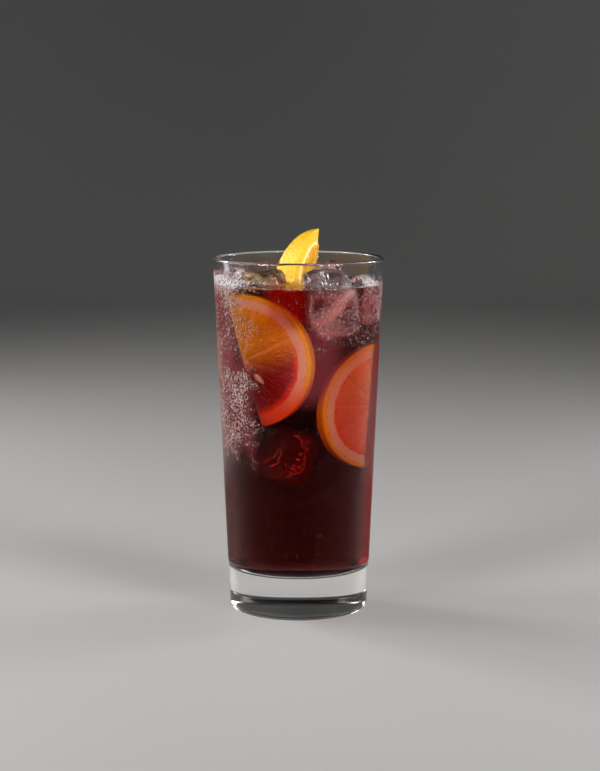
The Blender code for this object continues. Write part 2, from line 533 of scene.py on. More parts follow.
@dataclass(frozen=True)
class PunchFinish:
    """Red wine punch: it takes light by its depth, least from red, by these amounts per metre."""

    index: float = 1.34
    takes: Triple = (55.0, 120.0, 124.0)
    clear: Colour = (1.0, 1.0, 1.0)
    edge: float = 0.0351
    edge_width: float = 0.0012
    # Painted reflection of the orange on the free surface by the wall
    painted_meniscus_reflection: Colour = (1.0, 0.45, 0.12)
    ripple_scale: float = 160.0
    ripple_depth: float = 0.00008

    def absorption(self) -> tuple[Colour, float]:
        """Colour and density of the volume: density (1 - colour) is what each colour loses per metre."""
        most = max(self.takes)
        return tuple(1 - take / most for take in self.takes), most

    def material(self, contact: Contact) -> bpy.types.Material:
        """The punch's free surface, with a painted orange reflection in a ring by the wall, or where it wets
        glass and ice and shows no sheen of its own.

        Args:
            contact: What the surface borders on.

        Returns:
            The material.
        """
        g = Graph(f"punch_{contact.value}")
        inputs = {"Base Color": self.clear, "Transmission Weight": 1.0, "IOR": self.index, "Roughness": 0.0}
        if contact is Contact.WET:
            inputs["Specular Tint"] = (0.0, 0.0, 0.0)
        else:
            # Painted reflection of the orange: the free surface's ring by the wall is tinted orange
            from_axis = g.number("LENGTH", g.vector("MULTIPLY", g.world(), (1.0, 1.0, 0.0)))
            near_wall = g.ramp(from_axis, self.edge - self.edge_width, self.edge)
            inputs["Base Color"] = g.mix(near_wall, self.clear, self.painted_meniscus_reflection)
            ripple = g.noise(g.world(), self.ripple_scale, detail=1.0)
            inputs["Normal"] = g.bump(ripple, self.ripple_depth)
        return g.end(g.principled(inputs), self.clear, self.absorption())


@dataclass(frozen=True)
class IceFinish:
    """Ice with a melted sheen, clear above cloud_top and milky in patches and veins below it.

    Streaks and hollows are milky lines and clear spots in the picture plane, as Graph.glow takes them. Where
    they are given, patches and veins thin out to a haze.
    """

    index: float = 1.31
    # A faint pink, painted red light of the punch seen through the ice
    colour: Colour = (0.93, 0.87, 0.87)
    lamp_tint: Colour = (0.93, 0.91, 0.91)
    milk: float = 0.55
    milk_scale: float = 0.16
    vein_scale: float = 0.48
    vein_share: float = 0.25
    milky: Span = (0.52, 0.78)
    clear_share: float = 0.04
    cloud_top: float = 0.146
    cloud_fade: Span = (-0.004, 0.001)
    haze: float = 1.0
    patch_haze: float = 0.28
    vein_haze: float = 0.22
    streaks: Streaks = ()
    hollows: Streaks = ()
    streak_sway: float = 5.0
    sway_scale: float = 0.25
    dimple_scale: float = 0.5
    dimple_depth: float = 0.00028
    rough_veins: Span = (0.45, 0.75)
    most_roughness: float = 0.02

    def material(self, name: str) -> bpy.types.Material:
        """The ice, with its milky patches told by noise in its own frame.

        Args:
            name: The material's name.

        Returns:
            The material.
        """
        g = Graph(name)
        local = g.local()
        patches = g.noise(local, self.milk_scale, detail=5.0, roughness=0.6)
        veins = g.noise(local, self.vein_scale, detail=3.0)
        milky = g.ramp(g.plus(patches, g.times(veins, self.vein_share)), *self.milky)
        if self.streaks:
            place = g.swayed(g.world_mm(), local, self.sway_scale, self.streak_sway, detail=3.0)
            milky = g.plus(g.times(milky, self.patch_haze), g.times(veins, self.vein_haze))
            milky = g.times(milky, self.haze)
            milky = g.largest(milky, g.glow(place, self.streaks))
            milky = g.times(milky, g.minus(1.0, g.glow(place, self.hollows)))
        below = g.step(g.height(), self.cloud_top, self.cloud_fade, 1.0, self.clear_share)
        milk = g.times(g.times(milky, below), self.milk)
        shader = g.principled({
            "Base Color": self.colour, "Transmission Weight": g.minus(1.0, milk), "IOR": self.index,
            "Roughness": g.ramp(veins, *self.rough_veins, 0.0, self.most_roughness),
            "Normal": g.bump(g.noise(local, self.dimple_scale), self.dimple_depth),
        })
        return g.end(shader, self.lamp_tint)


@dataclass(frozen=True)
class OrangeFinish:
    """Rind, pith and flesh of a cut orange, told apart by how far a point lies inside the skin. Some slices
    carry painted shade: a redder low end, a dark band along the cut edge, or all dark outside the shown
    heights.

    Sizes are in millimetres, but for the heights in shown and the relief, which are in metres.
    """

    radius: float = 28.0
    cut: Cut = Cut.ACROSS
    webs: tuple[float, ...] = ()
    rind_depth: float = 2.3
    rind_fade: Span = (-0.9, 0.7)
    flesh_depth: float = 5.6
    flesh_fade: Span = (-0.2, 0.6)
    web_width: float = 0.75
    web_rounding: float = 1.3
    core: float = 1.4
    core_rounding: float = 1.0
    inside_fade: Span = (-0.05, 0.45)
    sway: float = 1.6
    sway_scale: float = 0.22
    cells_around: float = 13.0
    cell_length: float = 5.2
    cell_depth: float = 3.0
    cell_wall: float = 0.14
    cell_rounding: float = 0.35
    cell_contrast: float = 0.35
    rind: Colour = (0.92, 0.60, 0.015)
    rind_spots: Colour = (0.84, 0.46, 0.008)
    rind_deep: Colour = (0.93, 0.64, 0.05)
    spot_scale: float = 0.35
    spot_share: float = 0.35
    # Pore colour: partly the pores' own darker tone, partly painted shade in their pits
    pore_tone_and_shade: Colour = (0.50, 0.22, 0.004)
    pore_share: float = 0.6
    pith: Colour = (0.93, 0.68, 0.38)
    pith_pale: Colour = (0.95, 0.78, 0.50)
    pith_scale: float = 0.9
    flesh: Colour = (0.80, 0.43, 0.004)
    flesh_pale: Colour = (0.90, 0.52, 0.015)
    web: Colour = (0.97, 0.58, 0.14)
    stain: Colour = (0.28, 0.004, 0.001)
    stain_rim: Colour = (0.85, 0.07, 0.006)
    stains: Span = (0.0, 0.0)
    stain_run: Span = (-0.30, 0.20)
    stain_start: Span = (-0.6, 0.5)
    stain_deepens: Span = (0.2, 3.2)
    # Painted shade: the low end turned redder, as if lit through more punch
    painted_low_shade: float = 0.0
    painted_low_shade_red: Colour = (0.86, 0.10, 0.006)
    painted_low_shade_run: Span = (-0.90, -0.35)
    # Painted shade: a dark band along the cut edge, and the same dark outside the shown heights
    painted_dark_edge: float = 0.0
    edge_fade: Span = (-1.0, 0.8)
    edge_share: float = 0.9
    painted_dark: Colour = (0.20, 0.004, 0.001)
    shown: Span = (0.0, 0.2)
    shown_fade: Span = (-0.002, 0.002)
    subsurface: float = 0.45
    subsurface_radius: Triple = (1.0, 0.42, 0.14)
    subsurface_scale: float = 0.0035
    sheen: float = 0.06
    roughness: float = 0.38
    flesh_roughness: float = 0.16
    relief: float = 0.00013
    skin_depth: float = 0.8
    cell_relief: float = 1.4
    grain_relief: float = 0.18
    grain_scale: float = 2.6
    pore_scale: float = 1.15
    pore_size: float = 0.42

    def measure(self, g: Graph, point: Socket) -> tuple[Socket, Socket, Socket]:
        """Tells a point's place in the whole orange.

        Args:
            g: The tree.
            point: Points in the piece's own frame, in millimetres.

        Returns:
            The distance from the core, the angle round it, and the place across that angle.
        """
        x, y, z = g.add("SeparateXYZ", {0: point}).outputs[:3]
        if self.cut is Cut.ACROSS:
            flat = g.vector("MULTIPLY", point, (1.0, 1.0, 0.0))
            return g.number("LENGTH", flat), g.math("ARCTAN2", y, x), z
        flat = g.math("SQRT", g.plus(g.times(x, x), g.times(y, y)))
        return g.number("LENGTH", point), g.math("ARCTAN2", z, flat), y

    def flesh_share(self, g: Graph, point: Socket, reach: Socket, depth: Socket) -> Socket:
        """Where flesh lies.

        A web is a line from the core at its own angle, and a point's distance from it is |p . n|. Flesh lies
        where depth, distance from each web and reach are all past their limits, with the corners between
        rounded by a smooth minimum.

        Args:
            g: The tree.
            point: Points in the piece's own frame.
            reach: Their distance from the core.
            depth: Their depth inside the skin.

        Returns:
            1 in flesh, 0 in pith and webs.
        """
        inside = g.minus(depth, self.flesh_depth)
        for web in self.webs:
            a = math.radians(web)
            off = g.number("DOT_PRODUCT", point, (-math.sin(a), math.cos(a), 0.0))
            off = g.minus(g.math("ABSOLUTE", off), self.web_width / 2)
            inside = g.math("SMOOTH_MIN", inside, off, self.web_rounding)
        inside = g.math("SMOOTH_MIN", inside, g.minus(reach, self.core), self.core_rounding)
        return g.ramp(inside, *self.inside_fade)

    def juice_cells(self, g: Graph, around: Socket, reach: Socket, across: Socket) -> tuple[Socket, Socket]:
        """Juice cells: long Voronoi cells that point at the core.

        Args:
            g: The tree.
            around: Angle round the core.
            reach: Distance from the core.
            across: Place across the angle.

        Returns:
            The flesh's colour, and the distance from a cell's wall.
        """
        place = g.add("CombineXYZ", {0: g.times(around, self.cells_around),
                                     1: g.math("DIVIDE", reach, self.cell_length),
                                     2: g.math("DIVIDE", across, self.cell_depth)}).outputs[0]
        tone = g.add("SeparateColor", {0: g.cells(place, 1.0).outputs["Color"]}).outputs[0]
        edges = g.cells(place, 1.0, "DISTANCE_TO_EDGE").outputs["Distance"]
        flesh = g.mix(g.times(tone, self.cell_contrast), self.flesh, self.flesh_pale)
        walls = g.times(g.ramp(edges, 0.0, self.cell_wall, 1.0, 0.0), self.cell_contrast)
        return g.mix(walls, flesh, self.flesh_pale), edges

    def peel(self, g: Graph, place: Socket, depth: Socket, pores: Socket) -> Socket:
        """Colours from the skin inwards: spotted rind with dark pores, their darkness partly their own tone
        and partly painted shade in the pits, pale pith, then the webs' own colour.

        Args:
            g: The tree.
            place: Points in the piece's own frame.
            depth: Their depth inside the skin.
            pores: 0 in a pore, 1 between.

        Returns:
            The colour.
        """
        rind = g.mix(g.ramp(depth, 0.0, self.rind_depth), self.rind, self.rind_deep)
        spots = g.times(g.noise(place, self.spot_scale, detail=3.0), self.spot_share)
        rind = g.mix(spots, rind, self.rind_spots)
        # Darker pores: partly their own tone, partly painted shade in their pits
        rind = g.mix(g.times(g.minus(1.0, pores), self.pore_share), rind, self.pore_tone_and_shade)
        pith = g.mix(g.noise(place, self.pith_scale, detail=4.0), self.pith, self.pith_pale)
        is_rind = g.step(depth, self.rind_depth, self.rind_fade, 1.0, 0.0)
        past_pith = g.step(depth, self.flesh_depth, self.flesh_fade)
        return g.mix(past_pith, g.mix(is_rind, pith, rind), self.web)

    def stain_and_paint_shade(self, g: Graph, colour: Socket, point: Socket, depth: Socket) -> Socket:
        """Adds the wine's stain in the flesh, then painted shade: a dark band along the cut edge, and all
        dark outside the shown heights.

        Args:
            g: The tree.
            colour: The fresh orange's colour.
            point: Points in the piece's own frame.
            depth: Their depth inside the skin.

        Returns:
            The colour.
        """
        x, y = g.add("SeparateXYZ", {0: point}).outputs[:2]
        if max(self.stains) > 0:
            low, high = self.stain_run
            along = g.ramp(y, low * self.radius, high * self.radius, *self.stains)
            past_pith = g.step(depth, self.flesh_depth, self.stain_start)
            deep = g.step(depth, self.flesh_depth, self.stain_deepens)
            colour = g.mix(g.times(along, past_pith), colour, g.mix(deep, self.stain_rim, self.stain))
        # Painted shade: a dark band along the cut edge
        if self.painted_dark_edge > 0:
            at_edge = g.step(x, self.painted_dark_edge, self.edge_fade, self.edge_share, 0.0)
            colour = g.mix(at_edge, colour, self.painted_dark)
        # Painted shade: all dark outside the shown heights
        height, (low, high) = g.height(), self.shown
        too_low = g.step(height, low, self.shown_fade, 1.0, 0.0)
        too_high = g.step(height, high, self.shown_fade)
        return g.mix(g.largest(too_low, too_high), colour, self.painted_dark)

    def material(self, name: str) -> bpy.types.Material:
        """The cut orange. Depth is the radius less the distance from the core.

        Args:
            name: The material's name.

        Returns:
            The material.
        """
        g = Graph(name)
        place = g.local()
        point = g.swayed(place, place, self.sway_scale, self.sway)
        reach, around, across = self.measure(g, point)
        depth = g.minus(self.radius, reach)
        is_flesh = self.flesh_share(g, point, reach, depth)
        flesh, edges = self.juice_cells(g, around, reach, across)
        pores = g.ramp(g.cells(place, self.pore_scale).outputs["Distance"], 0.0, self.pore_size)
        colour = self.peel(g, place, depth, pores)
        # Painted shade: the low end redder, as if lit through more punch
        if self.painted_low_shade > 0:
            y = g.add("SeparateXYZ", {0: point}).outputs[1]
            low, high = self.painted_low_shade_run
            low_end = g.ramp(y, low * self.radius, high * self.radius, self.painted_low_shade, 0.0)
            colour = g.mix(low_end, colour, self.painted_low_shade_red)
        colour = self.stain_and_paint_shade(g, g.mix(is_flesh, colour, flesh), point, depth)
        height = g.times(g.minus(pores, 1.0), g.ramp(depth, 0.0, self.skin_depth, 1.0, 0.0))
        juicy = g.times(is_flesh, g.ramp(edges, 0.0, self.cell_rounding))
        height = g.plus(height, g.times(juicy, self.cell_relief))
        height = g.plus(height, g.times(g.noise(place, self.grain_scale), self.grain_relief))
        return g.end(g.principled({
            "Base Color": colour,
            "Roughness": g.ramp(is_flesh, 0.0, 1.0, self.roughness, self.flesh_roughness),
            "Subsurface Weight": self.subsurface, "Subsurface Radius": self.subsurface_radius,
            "Subsurface Scale": self.subsurface_scale, "Specular IOR Level": self.sheen,
            "Normal": g.bump(height, self.relief),
        }))


@dataclass(frozen=True)
class DropletFinish:
    """Fine drops of water on cold glass: milky with caught light, with a painted rosy glow of the punch
    behind them below the level and pale above it.
    """

    index: float = 1.33
    clearness: float = 0.62
    level: float = 0.1462
    level_fade: Span = (-0.002, 0.001)
    painted_punch_glow: Colour = (0.40, 0.28, 0.265)
    over_air: Colour = (0.62, 0.60, 0.63)
    lamp_tint: Colour = (0.95, 0.95, 0.95)
    grain_scale: float = 900.0
    roughness: Span = (0.03, 0.2)

    def colour(self, g: Graph) -> Socket:
        """The drops' colour by their height: a painted rosy glow of the punch below the level, pale above it.
        """
        is_above = g.step(g.height(), self.level, self.level_fade)
        return g.mix(is_above, self.painted_punch_glow, self.over_air)

    def material(self) -> bpy.types.Material:
        """The beads' material.

        Returns:
            The material.
        """
        g = Graph("condensation")
        shader = g.principled({
            "Base Color": self.colour(g), "Transmission Weight": self.clearness, "IOR": self.index,
            "Roughness": g.grain(self.grain_scale, *self.roughness),
        })
        return g.end(shader, self.lamp_tint)


@dataclass(frozen=True)
class MistFinish:
    """A breath of droplets too fine to model: pale grain on a faint rosy film, thicker where it's wetter. The
    film's rosy colour is painted red light of the punch behind; in patches at the edges it gives way to
    painted dark shade on the left and a painted red glow on the right and near the surface.
    """

    drops: DropletFinish = DropletFinish()
    # Painted light: the film's rosy colour stands for red light of the punch behind the glass
    film: Colour = (0.33, 0.045, 0.055)
    # Painted shade on the left edge, then painted red glow on the right and high up
    painted_edge_shade: Colour = (0.05, 0.004, 0.004)
    painted_edge_glow: Colour = (0.18, 0.001, 0.001)
    red_side: Span = (0.0, 0.03)
    red_top: Span = (0.115, 0.12)
    grain_scale: float = 1.15
    grain: Span = (0.63, 0.76)
    wet_share: float = 0.26
    grain_cover: float = 0.36
    grain_height: float = 0.0008
    film_cover: float = 0.22
    painted_edge_cover: float = 0.32
    roughness: float = 0.3

    def material(self) -> bpy.types.Material:
        """The mist: grain where noise and wetness together pass a threshold, over an even film whose colour
        is painted light.

        Returns:
            The material.
        """
        g = Graph("mist")
        noise = g.noise(g.world_mm(), self.grain_scale, roughness=0.6)
        wet = g.plus(noise, g.times(g.attribute(WETNESS), self.wet_share))
        speck = g.ramp(wet, *self.grain)
        # Painted light: the rosy film colour, and the edge attribute's painted shade on the left and painted
        # red glow on the right and high up
        rosy = g.times(g.attribute(FILM), self.film_cover)
        painted_edge_amount = g.times(g.attribute(PAINTED_EDGE), self.painted_edge_cover)
        x, _, height = g.add("SeparateXYZ", {0: g.world()}).outputs[:3]
        redder = g.largest(g.ramp(x, *self.red_side), g.ramp(height, *self.red_top))
        wine = g.mix(redder, self.painted_edge_shade, self.painted_edge_glow)
        painted_edge_share = g.math("DIVIDE", painted_edge_amount, g.plus(g.plus(painted_edge_amount, rosy), 0.001))
        film = g.mix(painted_edge_share, self.film, wine)
        cover = g.plus(g.largest(rosy, painted_edge_amount), g.times(speck, self.grain_cover))
        return g.end(g.principled({
            "Base Color": g.mix(speck, film, self.drops.colour(g)), "Alpha": cover,
            "Roughness": self.roughness, "Specular IOR Level": 0.0,
            "Normal": g.bump(speck, self.grain_height),
        }))


@dataclass(frozen=True)
class BubbleFinish:
    """Small trapped bubbles, white and half clear."""

    name: str
    colour: Colour = (0.96, 0.93, 0.92)
    clearness: float = 0.45
    index: float = 1.2
    grain_scale: float = 600.0
    roughness: Span = (0.05, 0.25)
    lamp_tint: Colour = (0.9, 0.9, 0.9)

    def material(self) -> bpy.types.Material:
        """The bubbles' material.

        Returns:
            The material.
        """
        g = Graph(self.name)
        shader = g.principled({
            "Base Color": self.colour, "Transmission Weight": self.clearness, "IOR": self.index,
            "Roughness": g.grain(self.grain_scale, *self.roughness),
        })
        return g.end(shader, self.lamp_tint)


@dataclass(frozen=True)
class SeedFinish:
    """A pale, damp orange seed with faint grooves along it."""

    grooves: Triple = (0.35, 2.4, 2.4)
    grain_scale: float = 1.6
    grain_depth: float = 0.0002
    dark: Colour = (0.80, 0.60, 0.34)
    pale: Colour = (0.92, 0.80, 0.58)
    roughness: float = 0.3
    subsurface: float = 0.3
    subsurface_radius: Triple = (1.0, 0.5, 0.25)
    subsurface_scale: float = 0.002

    def material(self) -> bpy.types.Material:
        """The seed's material.

        Returns:
            The material.
        """
        g = Graph("orange_seed")
        grain = g.noise(g.vector("MULTIPLY", g.local(), self.grooves), self.grain_scale, detail=3.0)
        return g.end(g.principled({
            "Base Color": g.mix(grain, self.dark, self.pale), "Roughness": self.roughness,
            "Subsurface Weight": self.subsurface, "Subsurface Radius": self.subsurface_radius,
            "Subsurface Scale": self.subsurface_scale, "Normal": g.bump(grain, self.grain_depth),
        }))


@dataclass(frozen=True)
class JuiceFinish:
    """Orange juice in beads, half clear."""

    index: float = 1.36
    clearness: float = 0.35
    roughness: float = 0.05
    grain_scale: float = 700.0
    deep: Colour = (0.98, 0.50, 0.02)
    pale: Colour = (0.98, 0.66, 0.10)

    def material(self) -> bpy.types.Material:
        """The juice's material.

        Returns:
            The material.
        """
        g = Graph("juice")
        return g.end(g.principled({
            "Base Color": g.mix(g.noise(g.world(), self.grain_scale), self.deep, self.pale),
            "Transmission Weight": self.clearness, "IOR": self.index, "Roughness": self.roughness,
        }))


@dataclass(frozen=True)
class FloorFinish:
    """A plain pale floor with the faintest unevenness."""

    pale: Colour = (0.40, 0.395, 0.39)
    shade: float = 0.95
    grain_scale: float = 6.0
    roughness: float = 0.6
    sheen: float = 0.3

    def material(self) -> bpy.types.Material:
        """The floor's material.

        Returns:
            The material.
        """
        g = Graph("pale_floor")
        darker = tuple(self.shade * c for c in self.pale)
        return g.end(g.principled({
            "Base Color": g.mix(g.noise(g.world(), self.grain_scale, detail=4.0), darker, self.pale),
            "Roughness": self.roughness, "Specular IOR Level": self.sheen,
        }))


# The pieces


@dataclass
class Tumbler:
    """The glass: a straight taper on a thick clear base."""

    height: float = 0.157
    rim_radius: float = 0.03755
    foot_radius: float = 0.0306
    rim_wall: float = 0.0019
    foot_wall: float = 0.0026
    base: float = 0.019
    foot_rounding: float = 0.003
    floor_rounding: float = 0.0035
    steps: int = 256

    def outer(self, z: Union[float, Array]) -> Union[float, Array]:
        """Radius of the outside at height z."""
        return self.foot_radius + (self.rim_radius - self.foot_radius) * z / self.height

    def inner(self, z: Union[float, Array]) -> Union[float, Array]:
        """Radius of the inside at height z."""
        return self.outer(z) - self.foot_wall + (self.foot_wall - self.rim_wall) * z / self.height

    def build(self, level: float) -> bpy.types.Object:
        """Makes the glass.

        The profile runs from the underside's middle over the foot's rounding, up the outside, over the rim's
        half circle, down the inside past the punch's level, round the floor's fillet and back to the axis.

        Args:
            level: Height of the punch, below which the inside is wet.

        Returns:
            The glass.
        """
        rim = self.rim_wall / 2
        foot = arc((self.outer(self.foot_rounding) - self.foot_rounding, self.foot_rounding),
                   self.foot_rounding, -90, 0, 14)
        lip = arc((self.rim_radius - rim, self.height - rim), rim, 0, 180, 20)
        fillet_z = self.base + self.floor_rounding
        fillet = arc((self.inner(fillet_z) - self.floor_rounding, fillet_z), self.floor_rounding, 0, -90, 14)
        waterline = np.array([(self.inner(level), level)])
        under = straight((0.0, 0.0), foot[0], 8)
        outside = straight(foot[-1], lip[0], 28)
        inside_dry = straight(lip[-1], waterline[0], 6)
        inside_wet = straight(waterline[0], fillet[0], 24)
        floor = straight(fillet[-1], (0.0, self.base), 8)
        dry = np.vstack(([(0.0, 0.0)], under, foot, outside, lip, inside_dry))
        profile = np.vstack((dry, waterline, inside_wet, fillet, floor, [(0.0, self.base)]))
        points, faces, stretches = turned(profile, self.steps)
        wall_start = 1 + len(under) + len(foot)
        is_wall = (stretches >= wall_start) & (stretches < wall_start + len(outside))
        kinds = np.where(stretches >= len(dry), 2, is_wall.astype(int))
        finish = ClearGlass()
        looks = [finish.material(contact) for contact in (Contact.AIR, Contact.WALL, Contact.WET)]
        return make_piece("tumbler", points, faces, looks, ["glass"], kinds)


@dataclass
class IceCube:
    """One part-melted cube: a rounded, uneven box.

    Lengths are in metres, but the sizes of its bubbles in millimetres. Its heart is where they gather, as a
    share of half the cube's size.
    """

    name: str
    size: Triple
    seed: int
    middle: Triple
    turns: Triple
    nodes: tuple[str, ...] = ()
    look: IceFinish = IceFinish()
    squareness: float = 4.5
    slow_waves: Span = (1.0, 2.6)
    slow_height: float = 0.035
    fine_waves: float = 3.6
    fine_height: float = 0.012
    heart: Triple = (0.0, 0.0, 0.0)
    heart_size: float = 0.33
    heart_reach: float = 0.72
    bubble_size: Span = (0.10, 0.30)
    bubble_stretch: Span = (1.0, 4.0)
    bubble_tint: Colour = (0.96, 0.93, 0.92)
    cuts: int = 30

    def matrix(self) -> Matrix:
        """Where the cube floats: turned about Z, Y and X, then moved.

        Returns:
            The matrix from the cube's own frame to the part's.
        """
        turns = Matrix.Identity(4)
        for angle, axis in zip(self.turns, "ZYX"):
            turns = turns @ Matrix.Rotation(math.radians(angle), 4, axis)
        return Matrix.Translation(self.middle) @ turns

    def surface(self, cuts: int, grow: float) -> tuple[Array, Array]:
        """The cube's skin in its own frame.

        A point of the cube from -1 to 1 is pulled in by (|x|^n + |y|^n + |z|^n)^(-1/n), which rounds edges
        and corners, swells by a sum of slow sine waves and by fine ones, and is scaled to half the size plus
        grow.

        Args:
            cuts: Quads along a side.
            grow: How far all sides move out.

        Returns:
            Points and faces.
        """
        rng = np.random.default_rng(self.seed)
        slow = rng.uniform(*self.slow_waves, (3, 3))
        slow_phases = rng.uniform(0.0, 2 * math.pi, 3)
        fine = rng.normal(0.0, self.fine_waves, (6, 3))
        fine_phases = rng.uniform(0.0, 2 * math.pi, 6)
        points, faces = cube_surface(cuts)
        round_off = (np.abs(points) ** self.squareness).sum(axis=1) ** (-1 / self.squareness)
        wave = np.sin(points @ slow.T + slow_phases).sum(axis=1) * self.slow_height
        wave += np.sin(points @ fine.T + fine_phases).sum(axis=1) * self.fine_height
        half = np.array(self.size) / 2 + grow
        return points * (round_off * (1 + wave))[:, None] * half, faces

    def nearness(self, x: Array, y: Array, z: float) -> Array:
        """About how far points lie outside the cube, 0 inside: (norm - 1) times half a side.

        Args:
            x: Places across.
            y: Places front to back.
            z: Their height.

        Returns:
            Distances.
        """
        m = np.linalg.inv(np.array(self.matrix()))
        p = np.stack((x, y, np.full_like(x, z)), axis=-1) @ m[:3, :3].T + m[:3, 3]
        half = np.array(self.size) / 2
        norm = (np.abs(p / half) ** self.squareness).sum(axis=-1) ** (1 / self.squareness)
        return np.maximum(norm - 1, 0.0) * half.mean()

    def cutter(self, grow: float) -> bpy.types.Object:
        """Makes a helper that cuts the cube's own room from the punch.

        Args:
            grow: How far its sides move out.

        Returns:
            The helper, whose faces take the punch's wet finish.
        """
        points, faces = self.surface(self.cuts, grow)
        mesh = bpy.data.meshes.new(self.name + "_room")
        mesh.from_pydata(placed(points, self.matrix()).tolist(), [], faces.tolist())
        mesh.polygons.foreach_set("material_index", np.ones(len(faces), np.int32))
        return bpy.data.objects.new(mesh.name, mesh)

    def build(self) -> bpy.types.Object:
        """Makes the cube.

        Returns:
            The cube.
        """
        points, faces = self.surface(self.cuts, 0.0)
        return make_piece(self.name + "_cube", placed(points, self.matrix()), [faces],
                          [self.look.material(self.name + "_look")], self.nodes, local=points)

    def build_bubbles(self, count: int) -> bpy.types.Object:
        """Makes the small bubbles that froze into the cube's heart, long ones pointing outwards.

        A ball is drawn out along the unit vector a away from the middle by the matrix I + (s - 1) a a'.

        Args:
            count: How many.

        Returns:
            One piece of all the bubbles.
        """
        rng = np.random.default_rng(self.seed + 100)
        spread = rng.normal(0.0, self.heart_size, (count, 3)) * (1 - np.abs(self.heart)) + self.heart
        centres = spread.clip(-self.heart_reach, self.heart_reach) * (np.array(self.size) / 2)
        away = centres / np.maximum(np.linalg.norm(centres, axis=1, keepdims=True), 1e-9)
        thick = rng.uniform(*self.bubble_size, count) * MM
        stretch = rng.uniform(*self.bubble_stretch, count)
        drawn = (stretch - 1)[:, None, None] * away[:, :, None] * away[:, None]
        ball, ball_faces = icosahedron()
        points, faces = blob(ball, ball_faces, thick[:, None, None] * (np.eye(3) + drawn), centres)
        finish = BubbleFinish(self.name + "_bubble_look", self.bubble_tint).material()
        return make_piece(self.name + "_bubbles", placed(points, self.matrix()), [faces], [finish])


